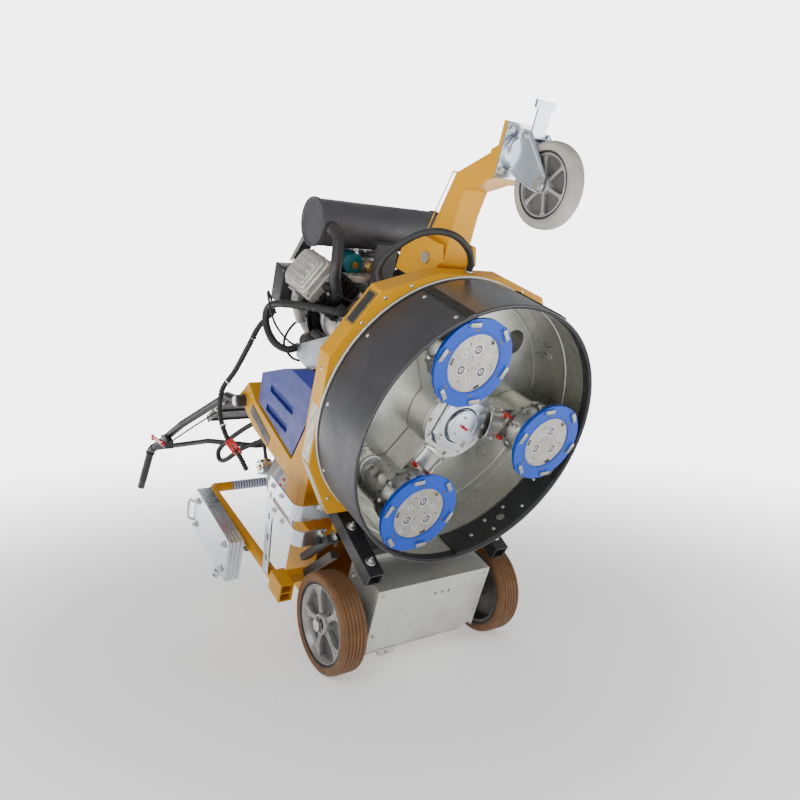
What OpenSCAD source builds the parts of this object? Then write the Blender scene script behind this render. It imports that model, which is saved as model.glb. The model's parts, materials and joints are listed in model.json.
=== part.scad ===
/* [Grinding head] */
// Outside radius of the drum wall
drum_r = 383; // [375:1:390]
// Depth of the drum from its rim to its roof
drum_depth = 203; // [198:1:203]
// Radius of the circle that the grinding discs run on
orbit_r = 254; // [245:1:254]
// Outside radius of a grinding disc ring
disc_r = 121; // [100:1:121]
// Angle of the first disc about the head
disc_a0 = -5.75; // [-60:0.25:60]
// Height of the skirt band
skirt_h = 193; // [150:1:193]

/* [Wheels] */
// Radius of the main wheels
wheel_r = 149.5; // [140:0.5:149.5]
// Width of the main tyres
wheel_w = 80; // [60:1:84]
// Distance from the middle to the outside face of a main wheel
wheel_x = 325; // [320:1:335]
// Radius of the main axle
axle_r = 15; // [12:0.5:18]
// Radius of the castor wheel
castor_r = 100; // [80:1:100]
// Width of the castor wheel
castor_w = 46; // [40:1:48]

/* [Body] */
// Half width of the tank and the rear column
body_hw = 296; // [280:1:300]
// Sheet thickness of the covers
sheet = 5; // [4:0.5:6]
// Radius of the cage tube
cage_r = 17; // [14:0.5:20]
// Radius of the propane cylinder
gas_r = 128; // [110:1:132]
// Number of removable weight plates on each side
weight_n = 4; // [2:1:4]

/* [Handle] */
// Radius of the handle tube
handle_r = 14; // [12:0.5:16]
// Half width between the handle grips
handle_hw = 470; // [440:1:480]

/* [Engine] */
// Radius of the muffler
muffler_r = 70; // [60:1:72]
// Number of cooling fins on each cylinder
fin_n = 9; // [6:1:9]

/* [Hidden] */
$fn = 64;
// The service stance: the machine is tipped back on its main wheels and its prop.
tilt = 67.373;
// The origin lies on the floor under the middle of the overall box.
shift_y = -323.526;
stance_y = -331.3 + shift_y;
stance_z = 690.9;
axle_y = 627;
axle_z = 97.5;

module stance() { translate([0, stance_y, stance_z]) rotate([-tilt, 0, 0]) children(); }

// Round bar from p to q.
module rod(p, q, r, n = 32) {
  v = q - p; l = norm(v);
  translate(p) rotate([0, acos(v[2] / l), atan2(v[1], v[0])]) cylinder(r = r, h = l, $fn = n);
}
// Bent round bar through a list of points.
module bent(pts, r, n = 32) {
  for (i = [0 : len(pts) - 2]) rod(pts[i], pts[i + 1], r, n);
  for (i = [1 : len(pts) - 2]) translate(pts[i]) sphere(r = r * 1.035, $fn = n);
}
// Smooth hose through a list of points: rings of ten sides, two spans to each gap between points.
function cr(a, b, c, d, t) = 0.5 * (2 * b + (c - a) * t + (2 * a - 5 * b + 4 * c - d) * t * t + (3 * b - a - 3 * c + d) * t * t * t);
function path(p, m) = let (n = len(p)) concat([for (i = [0 : n - 2]) for (j = [0 : m - 1])
  cr(p[max(i - 1, 0)], p[i], p[i + 1], p[min(i + 2, n - 1)], j / m)], [p[n - 1]]);
module hose(pts, r, m = 3, k = 10) {
  q = path(pts, m); n = len(q);
  t = [for (i = [0 : n - 1]) let (v = q[min(i + 1, n - 1)] - q[max(i - 1, 0)]) v / norm(v)];
  u = [for (i = [0 : n - 1]) let (c = cross(t[i], [0.31, 0.22, 0.93])) c / norm(c)];
  w = [for (i = [0 : n - 1]) cross(t[i], u[i])];
  polyhedron([for (i = [0 : n - 1]) for (j = [0 : k - 1]) q[i] + r * (cos(360 * j / k) * u[i] + sin(360 * j / k) * w[i])],
    concat([[for (j = [0 : k - 1]) j]], [[for (j = [0 : k - 1]) n * k - 1 - j]],
      [for (i = [0 : n - 2]) for (j = [0 : k - 1]) [i * k + j, (i + 1) * k + j, (i + 1) * k + (j + 1) % k]],
      [for (i = [0 : n - 2]) for (j = [0 : k - 1]) [i * k + j, (i + 1) * k + (j + 1) % k, i * k + (j + 1) % k]]));
}
// Block between two corners.
module blk(a, b) { translate(a) cube(b - a); }
// Plate lying across the machine: an outline in forward and up, drawn between two sideways stations.
module slab(pts, x0, x1) {
  translate([x0, 0, 0]) rotate([90, 0, 90]) linear_extrude(x1 - x0) polygon([for (p = pts) [-p[0], p[1]]]);
}
module ring(ro, ri, h, n = 96) { difference() { cylinder(r = ro, h = h, $fn = n); translate([0, 0, -1]) cylinder(r = ri, h = h + 2, $fn = n); } }
// Part of a ring between two angles, under 180 degrees apart.
module arc(ro, ri, h, a0, a1) {
  intersection() {
    ring(ro, ri, h, 128);
    translate([0, 0, -2]) linear_extrude(h + 4) polygon(concat([[0, 0]], [for (i = [0 : 8]) let (a = a0 + (a1 - a0) * i / 8) [1.3 * ro * cos(a), 1.3 * ro * sin(a)]]));
  }
}
module hexbolt(af, h) { cylinder(d = af / cos(30), h = h, $fn = 6); }

// ---------- head ----------
module housing_solid(d) {
  hull() {
    translate([0, 0, drum_depth + 5]) linear_extrude(54 - d) polygon([for (p = [[-388, -165], [-275, -340], [-110, -392], [110, -392], [275, -340], [388, -165], [388, 150], [300, 322], [-300, 322], [-388, 150]]) p * (1 - d / 380)]);
    translate([0, 0, 349.5 - d]) linear_extrude(0.5) polygon([for (p = [[-302, -130], [-215, -282], [-90, -330], [90, -330], [215, -282], [302, -130], [302, 150], [240, 262], [-240, 262], [-302, 150]]) p * (1 - d / 300)]);
  }
}
module base_housing() {
  color("gold") difference() {
    housing_solid(0);
    translate([0, 0, -0.5]) housing_solid(sheet);
    translate([0, -70, 300]) cylinder(r = 62, h = 100);
    translate([205, -205, 300]) cylinder(r = 41.35, h = 100);
  }
}
module drum_pan() {
  color("silver") {
    difference() {
      cylinder(r = drum_r, h = drum_depth, $fn = 128);
      translate([0, 0, -1]) cylinder(r = drum_r - 3, h = drum_depth - 4, $fn = 128);
      translate([0, 0, drum_depth - 10]) cylinder(r = 60, h = 30);
      translate([205, -205, drum_depth - 10]) cylinder(r = 38, h = 30);
    }
    // edge strip under the housing
    translate([0, 0, drum_depth]) ring(drum_r + 5, drum_r - 12, 5, 128);
    // dust spout
    translate([205, -205, 0]) translate([0, 0, drum_depth]) ring(41, 38, 214, 64);
  }
}
module skirt_band() {
  color("dimgray") translate([0, 0, -3]) {
    difference() {
      ring(drum_r + 6, drum_r + 1, skirt_h, 128);
      translate([0, 0, -2]) linear_extrude(skirt_h + 4) polygon([[0, 0], [600 * cos(-69), 600 * sin(-69)], [0, -700], [600 * cos(-111), 600 * sin(-111)]]);
    }
    // rubber edges along the two seams with the front guard
    arc(drum_r + 10, drum_r + 3, skirt_h - 4, -68.6, -65);
    arc(drum_r + 10, drum_r + 3, skirt_h - 4, -115, -111.4);
  }
}
module front_guard() {
  color("lightslategray") translate([0, 0, -3]) arc(drum_r + 5.3, drum_r + 1, skirt_h, -110.8, -69.2);
}

module rim_liner() {
  color("black") difference() {
    arc(drum_r - 3.3, drum_r - 8, 92, 25, 85);
    rotate([0, 0, 55]) translate([drum_r - 30, 0, 48]) rotate([0, 90, 0]) cylinder(r = 14, h = 40, $fn = 32);
  }
}
disc_a = [for (i = [0 : 2]) -(disc_a0 + 120 * i)];
module at_disc(i) { rotate([0, 0, disc_a[i]]) translate([orbit_r, 0, 0]) children(); }

module arm_plan(r) { for (i = [0 : 2]) hull() { circle(r = r + 12, $fn = 32); at_disc(i) circle(r = r, $fn = 32); } }
module carrier_plan(h, w, e) { circle(r = h, $fn = 96); for (i = [0 : 2]) rotate([0, 0, disc_a[i]]) { translate([0, -w]) square([orbit_r, 2 * w]); translate([orbit_r, 0]) circle(r = e, $fn = 64); } }
module planet_carrier() {
  color("darkgray") difference() {
    translate([0, 0, 118]) linear_extrude(78) carrier_plan(112, 50, 74);
    translate([0, 0, 117]) linear_extrude(70) carrier_plan(104, 45, 60);
    translate([0, 0, 180]) cylinder(r = 56.05, h = 30);
  }
}
module carrier_cover() {
  color("gainsboro") difference() {
    union() {
      translate([0, 0, 110]) cylinder(r = 110, h = 8);
      for (i = [0 : 2]) rotate([0, 0, disc_a[i]]) {
        translate([0, -49, 110]) cube([orbit_r, 98, 8]);
        translate([orbit_r, 0, 103]) cylinder(r = 73, h = 15);
      }
      for (k = [0 : 11]) rotate([0, 0, 30 * k + 10]) translate([98, 0, 104]) hexbolt(12, 7);
    }
    for (i = [0 : 2]) at_disc(i) translate([0, 0, 100]) cylinder(r = 40.05, h = 30);
    translate([0, 0, 100]) cylinder(r = 22, h = 30);
  }
}
module hub_cap() {
  color("silver") {
    // chamfered square plate with a round cap and its bolts
    difference() {
      union() {
        translate([0, 0, 97]) intersection() {
          rotate([0, 0, 20]) translate([-74, -74, 0]) cube([148, 148, 13]);
          rotate([0, 0, 65]) translate([-86, -86, 0]) cube([172, 172, 13]);
        }
        translate([0, 0, 86]) cylinder(r = 50, h = 11);
        for (k = [0 : 3]) rotate([0, 0, 65 + 90 * k]) translate([70, 0, 90]) hexbolt(16, 7);
        for (k = [0 : 5]) rotate([0, 0, 60 * k]) translate([40, 0, 81]) hexbolt(9, 5);
      }
      translate([0, 0, 80]) ring(31, 29, 9, 48);
    }
    // drive spindle down through the fixed sun column
    translate([0, 0, 110]) cylinder(r = 22, h = 150);
  }
}
module grease_nipples() {
  color("red") {
    for (i = [0 : 2]) for (s = [-1, 1]) rotate([0, 0, disc_a[i]]) translate([orbit_r - 90, s * 36, 97]) { cylinder(r = 8, h = 13, $fn = 24); translate([0, 0, -12]) cylinder(r = 4, h = 12, $fn = 24); }
    translate([0, 0, 66]) { cylinder(r = 5, h = 12, $fn = 24); }
  }
}
module head_bearing() {
  color("dimgray") difference() {
    union() {
      // fixed sun column that the belts run round
      translate([0, 0, 120]) cylinder(r = sun_r, h = 66);
      translate([0, 0, 186]) cylinder(r = 56, h = 22.5);
      // gearbox under the engine
      translate([0, 0, 208.5]) cylinder(r = 104, h = 136);
      translate([0, -70, 280]) cylinder(r = 61, h = 91.5);
    }
    translate([0, 0, 110]) cylinder(r = 22.05, h = 155);
    translate([0, -70, 300]) cylinder(r = 34.05, h = 80);
  }
}
sun_r = 48; planet_r = 24;
module carrier_belts() {
  color("black") for (i = [0 : 2]) rotate([0, 0, disc_a[i]]) translate([0, 0, 121 + 22 * i]) linear_extrude(18) difference() {
    hull() { circle(r = sun_r + 3.4, $fn = 64); translate([orbit_r, 0]) circle(r = planet_r + 3.4, $fn = 48); }
    hull() { circle(r = sun_r + 0.4, $fn = 64); translate([orbit_r, 0]) circle(r = planet_r + 0.4, $fn = 48); }
  }
}
module disc_holder(i) {
  color("silver") at_disc(i) {
    // bolted flange, neck and shaft with its pulley
    translate([0, 0, 80]) cylinder(r = 86, h = 16);
    translate([0, 0, 34]) cylinder(r = 66, h = 46);
    translate([0, 0, 22]) cylinder(r = 76, h = 12);
    translate([0, 0, 96]) cylinder(r = 40, h = 22);
    translate([0, 0, 118]) cylinder(r = 20, h = 67);
    translate([0, 0, 121 + 22 * i]) cylinder(r = planet_r, h = 18, $fn = 48);
    for (k = [0 : 7]) rotate([0, 0, 45 * k + 10]) translate([76, 0, 72]) hexbolt(13, 9);
  }
}
module disc_plate(i) {
  color("lightgray") at_disc(i) difference() {
    translate([0, 0, 2]) cylinder(r = 78, h = 20);
    for (k = [0 : 2]) rotate([0, 0, 120 * k + 30]) translate([34, 0, -1]) cylinder(r = 9, h = 14, $fn = 32);
    for (k = [0 : 2]) rotate([0, 0, 120 * k + 90]) translate([40, 0, -1]) cylinder(r = 4.5, h = 10, $fn = 32);
    for (k = [0 : 2]) rotate([0, 0, 120 * k + 60]) translate([66, -9, -1]) cube([20, 18, 8]);
  }
}
module grinding_ring(i) {
  color("dodgerblue") at_disc(i) difference() {
    union() {
      difference() { cylinder(r = disc_r, h = 22, $fn = 96); translate([0, 0, -1]) cylinder(r = 78.3, h = 30, $fn = 96); }
      for (k = [0 : 7]) rotate([0, 0, 45 * k + 8]) translate([104, -15, -6]) cube([12, 30, 7]);
    }
    for (k = [0 : 7]) rotate([0, 0, 45 * k + 30]) translate([disc_r - 4, -10, -1]) cube([14, 20, 24]);
  }
}

// ---------- chassis ----------
module chassis_frame() {
  color("black") {
    for (s = [-1, 1]) {
      // main square tubes beside the axle box
      difference() {
        translate([s * 228, 424, 15]) rotate([15.3, 0, 0]) translate([-24, -22, 0]) cube([48, 44, 262]);
        translate([s * 228, 424, 15]) rotate([15.3, 0, 0]) translate([-20, -18, -2]) cube([40, 36, 200]);
      }
      // pairs of square braces beside the tray
      for (d = [0, 34]) translate([s * 264.2, 418 + d, 216 - d]) rotate([-52, 0, 0]) translate([-11, -11, 0]) cube([22, 22, 206]);
      // gusset between the tube and the braces
      blk([s > 0 ? 252 : -253.4, 404, 196], [s > 0 ? 253.4 : -252, 440, 240]);
    }
    // deck plate under the rear of the drum
    blk([-203.9, 391, 180], [203.9, 480, 190]);
    blk([-203.9, 426.2, 190], [203.9, 440, 299.8]);
    for (s = [-1, 1]) blk([s > 0 ? 198.2 : -204, 391, 172], [s > 0 ? 204 : -198.2, 440, 300]);
  }
}
module axle_box() {
  color("silver") difference() {
    union() {
      blk([-203, 472, 13], [203, 705, 173]);
      blk([-203, 458, 150], [203, 472, 179.8]);
    }
    blk([-199, 476, 17], [199, 701, 180]);
    blk([160, 690, 0], [210, 720, 60]);
    for (s = [-1, 1]) translate([s * 201, axle_y, axle_z]) rotate([0, 90, 0]) translate([0, 0, -5]) cylinder(r = axle_r, h = 10);
  }
}
module main_axle() {
  color("dimgray") {
    translate([0, axle_y, axle_z]) rotate([0, 90, 0]) translate([0, 0, -wheel_x + 2]) cylinder(r = axle_r, h = 2 * wheel_x - 4);
    for (s = [-1, 1]) {
      translate([s * (wheel_x - wheel_w - 12), axle_y, axle_z]) rotate([0, 90, 0]) translate([0, 0, -8]) ring(24, axle_r, 16, 48);
      translate([s * (wheel_x - 2.7), axle_y, axle_z]) rotate([0, s * 90, 0]) hexbolt(34, 11);
      blk([s > 0 ? 100 : -116, axle_y - 30, 17], [s > 0 ? 116 : -100, axle_y + 30, axle_z - axle_r + 1]);
    }
  }
}
module wheel_place(s) { translate([s * wheel_x, axle_y, axle_z]) rotate([0, -90 * s, 0]) children(); }
module tyre(s) {
  color("saddlebrown") wheel_place(s) rotate_extrude($fn = 96) polygon([[wheel_r * 0.774, 6], [wheel_r - 10, 0], [wheel_r - 2, 7], [wheel_r, 14], [wheel_r, wheel_w - 14], [wheel_r - 2, wheel_w - 7], [wheel_r - 10, wheel_w], [wheel_r * 0.774, wheel_w - 6]]);
}
module rim(s) {
  color("silver") wheel_place(s) difference() {
    union() {
      difference() { translate([0, 0, 7]) cylinder(r = wheel_r * 0.774, h = wheel_w - 14); translate([0, 0, 0]) cylinder(r = wheel_r * 0.774 - 7, h = wheel_w); }
      translate([0, 0, 3]) cylinder(r = 30, h = wheel_w - 6);
      translate([0, 0, 22]) cylinder(r = wheel_r * 0.774 - 5, h = 14);
      for (k = [0 : 4]) rotate([0, 0, 72 * k]) translate([20, -9, 8]) cube([wheel_r * 0.774 - 26, 18, 16]);
    }
    translate([0, 0, -5]) cylinder(r = axle_r + 0.05, h = 100);
    for (k = [0 : 4]) rotate([0, 0, 72 * k + 36]) translate([70, 0, 0]) cylinder(r = 20, h = 60, $fn = 32);
  }
}

// ---------- rear body, tank ----------
module rear_solid(d) {
  union() {
    slab([[-58, 351 + d], [-64, 385 - d], [-300, 472 - d], [-432 + d, 472 - d], [-425 + d, 351 + d]], -body_hw + d, body_hw - d);
    intersection() {
      slab([[-300 - d, 472 - 2 * d], [-252 - d, 775], [-215 - d, 850 - d], [-295, 914 - d], [-376 + d, 667], [-432 + d, 463 - 2 * d]], -body_hw + d, body_hw - d);
      translate([0, 0, 300]) linear_extrude(700) polygon([[-body_hw + d, 150], [body_hw - d, 150], [body_hw - d, 345 - d], [body_hw - 60 - d, 445], [-body_hw + 60 + d, 445], [-body_hw + d, 345 - d]]);
    }
  }
}
module rear_body() {
  color("gold") difference() {
    union() { rear_solid(0); blk([-197, 322.5, drum_depth + 5], [197, 425, 353]); }
    rear_solid(sheet);
    // open underneath
    blk([-191, 328, drum_depth], [191, 419, 362]);
  }
}
module handle_pins() {
  color("dimgray") for (s = [-1, 1]) translate([s * (body_hw + 0.2), hy, hz]) rotate([0, 90 * s, 0]) { cylinder(r = 10, h = 36); cylinder(r = 20, h = 3); translate([0, 0, 33]) hexbolt(30, 8); }
}
module water_tank() {
  color("royalblue") difference() {
    union() {
      intersection() {
        slab([[-2, 470], [-60, 622], [-140, 768], [-243, 760], [-291, 482], [-66, 398]], -body_hw + 4, body_hw - 4);
        translate([0, 0, 300]) linear_extrude(700) polygon([[-body_hw + 4, 40], [-body_hw + 40, -10], [body_hw - 40, -10], [body_hw - 4, 40], [body_hw - 4, 300], [-body_hw + 4, 300]]);
      }
      // filler neck
      translate([-120, 190, 760]) cylinder(r = 30, h = 22);
    }
    translate([-120, 190, 700]) cylinder(r = 24, h = 90);
    translate([0, -70, 300]) cylinder(r = 134, h = 500);
    // room for the starter, the oil filter and the engine feet
    translate([-186, 0, 540]) cylinder(r = 42, h = 200);
    translate([150, 0, 380]) cylinder(r = 44, h = 230);
    blk([88, -20, 460], [146, 20, 570]);
    for (s = [-1, 1]) blk([s > 0 ? 229 : -249, -20, 380], [s > 0 ? 249 : -229, 49, 700]);
    for (s = [-1, 1]) blk([s > 0 ? body_hw - 12 : -body_hw + 3, 150, 520], [s > 0 ? body_hw - 3 : -body_hw + 12, 168, 690]);
    for (s = [-1, 1]) blk([s > 0 ? body_hw - 12 : -body_hw + 3, 222, 540], [s > 0 ? body_hw - 3 : -body_hw + 12, 240, 700]);
  }
}
module tank_cap() {
  color("black") translate([-120, 190, 782.3]) {
    cylinder(r = 36, h = 20);
    translate([0, 0, -18]) cylinder(r = 23.6, h = 19);
    translate([-30, -5, 20]) cube([60, 10, 8]);
  }
}
pu = [0.52, -0.854, 0]; pv0 = [0.591, 0.377, 0.713];
pn = cross(pu, pv0) / norm(cross(pu, pv0)); pv = cross(pn, pu);
module blank_plaques() {
  color("black") {
    // blank plaque on the sloping front corner of the housing
    translate([-297, -230.5, 306.5]) multmatrix([[pu[0], pv[0], pn[0], 0], [pu[1], pv[1], pn[1], 0], [pu[2], pv[2], pn[2], 0], [0, 0, 0, 1]]) translate([-64, -27, 1.4]) cube([128, 54, 2]);
    // blank plaques on the flanks of the column
    for (s = [-1, 1]) translate([s * (body_hw + 1.3), 306, 716]) rotate([14, 0, 0]) translate([-1, -17, -84]) cube([2, 34, 168]);
  }
}
module mount_rails() {
  color("silver") for (s = [-1, 1]) {
    x = s * 262;
    blk([x - 5, -185, 350], [x + 5, 55, 402]);
    blk([x - 20, -185, 350], [x + 20, 55, 358]);
    // triangular engine feet
    slab([[152, 358], [-44, 358], [-44, 500], [-30, 650], [10, 650], [152, 400]], s > 0 ? 234 : -244, s > 0 ? 244 : -234);
    slab([[150, 358], [-44, 358], [-44, 368], [150, 368]], s > 0 ? 111.5 : -240, s > 0 ? 240 : -111.5);
    slab([[110, 440], [20, 440], [20, 450], [110, 450]], s > 0 ? 116 : -240, s > 0 ? 240 : -116);
  }
}

// ---------- engine ----------
ey = -70; cz = 690;
module crankcase() {
  color("lightgray") difference() {
    union() {
      translate([0, ey, 372]) cylinder(r = 110, h = 60);
      translate([0, ey, 432]) cylinder(r = 115, h = 346);
      for (s = [-1, 1]) translate([0, ey, 0]) rotate([0, 0, -90 + 55 * s]) translate([60, -62, cz - 76]) cube([74, 124, 152]);
      // starter motor, pump casting and oil filter
      translate([-186, 0, 560]) cylinder(r = 36, h = 130);
      translate([-150, -10, 600]) cube([60, 24, 60]);
      translate([-186, 0, 690]) cylinder(r = 24, h = 24);
      translate([150, 0, 470]) cylinder(r = 38, h = 96);
      translate([96, -14, 490]) cube([40, 26, 50]);
      for (k = [0 : 5]) translate([0, ey, 0]) rotate([0, 0, 60 * k + 30]) translate([98, 0, 364]) cylinder(r = 8, h = 75, $fn = 24);
    }
    translate([0, ey, 355]) cylinder(r = 61.2, h = 30);
    translate([0, ey, 300]) cylinder(r = 34.05, h = 500);
  }
}
module cyl_place(s) { translate([0, ey, cz]) rotate([0, 0, -90 + 55 * s]) children(); }
module cylinders() {
  color("dimgray") for (s = [-1, 1]) cyl_place(s) {
    translate([135, 0, 0]) rotate([0, 90, 0]) cylinder(r = 46, h = 112);
    for (k = [0 : fin_n - 1]) translate([140 + k * 11, -68, -78]) cube([4, 136, 156]);
  }
}
module valve_covers() {
  color("silver") for (s = [-1, 1]) cyl_place(s) {
    difference() {
      union() {
        translate([247, -66, -82]) cube([44, 132, 164]);
        translate([291, -50, -66]) cube([22, 100, 132]);
      }
      translate([252, -58, -74]) cube([30, 116, 148]);
    }
    for (a = [-1, 1]) for (b = [-1, 1]) translate([291, a * 58, b * 74]) rotate([0, 90, 0]) hexbolt(10, 8);
  }
}
module blower_housing() {
  color("black") difference() {
    union() {
      translate([0, ey, 784]) cylinder(r = 158, h = 92);
      blk([-258, -205, 792], [-120, -85, 862]);
    }
    translate([0, ey, 780]) cylinder(r = 149, h = 90);
    translate([0, ey, 800]) cylinder(r = 96, h = 100);
    for (k = [0 : 4]) blk([-250 + 16 * k, -198, 700], [-242 + 16 * k, -92, 900]);
  }
}
module flywheel() {
  color("darkslategray") translate([0, ey, 0]) {
    translate([0, 0, 302]) cylinder(r = 34, h = 500);
    translate([0, 0, 792]) difference() { cylinder(r = 138, h = 16); for (k = [0 : 5]) rotate([0, 0, 60 * k]) translate([86, 0, -1]) cylinder(r = 22, h = 30, $fn = 32); }
    for (k = [0 : 15]) rotate([0, 0, 22.5 * k]) translate([104, -3, 807]) cube([33, 6, 44]);
    translate([0, 0, 800]) cylinder(r = 60, h = 40);
  }
}
module muffler() {
  color("black") {
    translate([-210, -370, 745]) rotate([0, 90, 0]) cylinder(r = muffler_r, h = 440);
    translate([-216, -370, 745]) rotate([0, 90, 0]) ring(muffler_r + 3, muffler_r - 1, 12, 64);
    translate([224, -370, 745]) rotate([0, 90, 0]) ring(muffler_r + 3, muffler_r - 1, 12, 64);
    // seam flange and its bolts
    translate([-205, -374, 745 + muffler_r - 3]) cube([430, 8, 20]);
    for (k = [0 : 5]) translate([-170 + 72 * k, -366, 745 + muffler_r + 9]) rotate([-90, 0, 0]) hexbolt(10, 5);
    // brackets to the crankcase and to the left cowl
    blk([-40, -345, 640], [40, -339, 690]);
    blk([-40, -345, 634], [40, ey - 115.6, 640]);
    slab([[340, 802], [322, 790], [207, 868], [207, 884]], -200, -160);
  }
}
module exhaust_pipes() {
  color("black") for (s = [-1, 1]) {
    bent([[s * 172, -190, 611.5], [s * 172, -190, 590], [s * 190, -218, 572], [s * 206, -290, 574], [s * 196, -354, 606], [s * 184, -370, 642], [s * 184, -370, 674.5]], 17);
    translate([s * 172, -190, 606.5]) cylinder(r = 28, h = 5);
  }
}
module air_filter() {
  color("teal") { translate([0, -140, 876.2]) cylinder(r = 58, h = 50); translate([0, -140, 926.2]) cylinder(r = 62, h = 10); }
}
hose_pts = [[-258, 120, 585], [-300, 60, 640], [-290, -20, 700], [-262, -60, 640], [-255, -110, 560], [-232, -150, 480]];
module breather_hose() {
  color("black") hose([[-108, -120, 512], [-165, -160, 505], [-215, -165, 530], [-262, -140, 640], [-290, -105, 745], [-297, -70, 788], [-301, -25, 772], [-296, 8, 710], [-262, 20, 678], [-223.5, 8, 674]], 12);
}
module hoses_and_loom() {
  color("black") {
    // hose looping round the front of the housing
    hose([[-190.7, -311.2, 332], [-202, -345, 352], [-196, -400, 332], [-165, -462, 284], [-130, -490, 245], [-80, -488, 222], [-35, -458, 214], [-8, -422, 222], [0, -397.5, 232]], 9);
    // wrapped loom down the left flank
    hose([[-262, -60, 806], [-300, 0, 822], [-318, 90, 850], [-328, 200, 905], [-346, 290, 948], [-352, 372, 925], [-348, 425, 850], [-330, 452, 780], [-306, 500, 745]], 9);
    // control hose loop behind the column
    hose([[-225, 372, 862], [-250, 430, 918], [-282, 520, 988], [-298, 580, 1022], [-300, 606, 1000], [-290, 586, 962], [-262, 510, 905], [-225, 450, 845], [-200, 396, 800]], 9);
  }
}

// ---------- rear ----------
module rear_tray() {
  color("gold") difference() {
    union() {
      slab([[-500, 300], [-500, 470], [-735, 470], [-735, 360], [-690, 300]], -248, 248);
      blk([-196, 440.2, 300], [196, 500, 330]);
    }
    slab([[-506, 290], [-506, 462], [-729, 462], [-729, 362], [-686, 290]], -242, 242);
  }
}
module rear_cage() {
  color("gold") for (s = [-1, 1]) {
    bent([[s * 350, 642, 300], [s * 350, 680, 905], [s * 330, 684, 930], [0, 684, 930]], cage_r);
    // foot box with two square ends
    difference() {
      blk([s * 350 - 22, 606, 262], [s * 350 + 22, 670, 340]);
      blk([s * 350 - 17, 611, 250], [s * 350 + 17, 636, 310]);
      blk([s * 350 - 17, 640, 250], [s * 350 + 17, 665, 310]);
    }
    // strut to the tray
    blk([s > 0 ? 248 : -350, 625, 318], [s > 0 ? 350 : -248, 655, 348]);
  }
}
module weight_plates() {
  color("lightsteelblue") for (s = [-1, 1]) {
    for (k = [0 : weight_n - 1]) blk([s > 0 ? 392 + 13 * k : -404 - 13 * k, 610, 505], [s > 0 ? 404 + 13 * k : -392 - 13 * k, 765, 830]);
    // hanger hooks
    for (z = [560, 770]) blk([s > 0 ? 368 : -392, 655, z], [s > 0 ? 392 : -368, 700, z + 24]);
    // retaining bar across the bottom
    blk([s > 0 ? 380 : -452, 765, 560], [s > 0 ? 452 : -380, 783, 578]);
  }
}
gx = -60; gy = 600;
module gas_cylinder() {
  color("gainsboro") {
    translate([gx, gy, 470.5]) ring(100, 92, 32, 64);
    translate([gx, gy, 520]) cylinder(r = gas_r, h = 300);
    translate([gx, gy, 500]) cylinder(r1 = 96, r2 = gas_r, h = 20, $fn = 64);
    translate([gx, gy, 820]) cylinder(r1 = gas_r, r2 = 60, h = 50, $fn = 64);
    translate([gx, gy, 870]) cylinder(r = 26, h = 14);
    difference() { translate([gx, gy, 855]) ring(74, 68, 50, 64); translate([gx - 100, gy - 25, 872]) cube([100, 50, 80]); }
  }
}
module gas_valve() {
  color("goldenrod") { translate([gx, gy, 884]) cylinder(r = 15, h = 46, $fn = 32); translate([gx, gy, 905]) rotate([0, -90, 0]) cylinder(r = 10, h = 62, $fn = 32); translate([gx - 62, gy, 905]) rotate([0, -90, 0]) hexbolt(26, 16); }
  color("silver") { translate([gx - 118, gy, 905]) rotate([0, 90, 0]) cylinder(r = 30, h = 40, $fn = 48); }
}
module valve_knob() { color("red") translate([gx, gy, 930.3]) { cylinder(r = 24, h = 14, $fn = 32); for (k = [0 : 5]) rotate([0, 0, 60 * k]) translate([24, 0, 0]) cylinder(r = 6, h = 14, $fn = 24); } }
module cylinder_straps() {
  color("silver") for (z = [580, 740]) translate([gx, gy, z]) {
    difference() { cylinder(r = gas_r + 3.5, h = 26); translate([0, 0, -1]) cylinder(r = gas_r + 0.5, h = 30); }
    blk([-18, -gas_r - 42, 0], [18, -gas_r - 2, 26]);
  }
}
module straps_and_guards() {
  color("silver") for (s = [-1, 1]) mirror([s > 0 ? 0 : 1, 0, 0]) {
    // angle bar out to the cage
    translate([367.5, 345, 430]) rotate([-10, 0, 0]) { translate([0, 0, -20]) cube([4, 300, 40]); translate([-18, 0, 16]) cube([22, 270, 4]); }
    // two bent straps round to the chassis tube
    for (d = [0, 1]) translate([0, 378 + 68 * d, 262 - 30 * d]) rotate([90, 0, 0]) linear_extrude(52) polygon(concat(
      [[252.4 + 23.2 * d, 4], [252.4 + 23.2 * d, 0]], [for (a = [0 : 15 : 90]) [341.5 + 30 * sin(a), 30 - 30 * cos(a)]],
      [[371.5, 180 + 30 * d], [367.5, 180 + 30 * d]], [for (a = [90 : -15 : 0]) [341.5 + 26 * sin(a), 30 - 26 * cos(a)]]));
  }
  // straps that hold the gas cylinder
  cylinder_straps();
}
module service_prop() {
  color("black") {
    stance() blk([-75, 735.2, 380], [75, 743, 462]);
    translate([0, shift_y, 0]) {
    for (s = [-1, 1]) {
      bent([[s * 60, 357.8, 175.7], [s * 62, 505, 14]], 13);
      translate([s * 62, 505, 13]) sphere(r = 13, $fn = 32);
    }
    translate([-88, 482, 0]) cube([176, 46, 12]);
    }
  }
}

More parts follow.
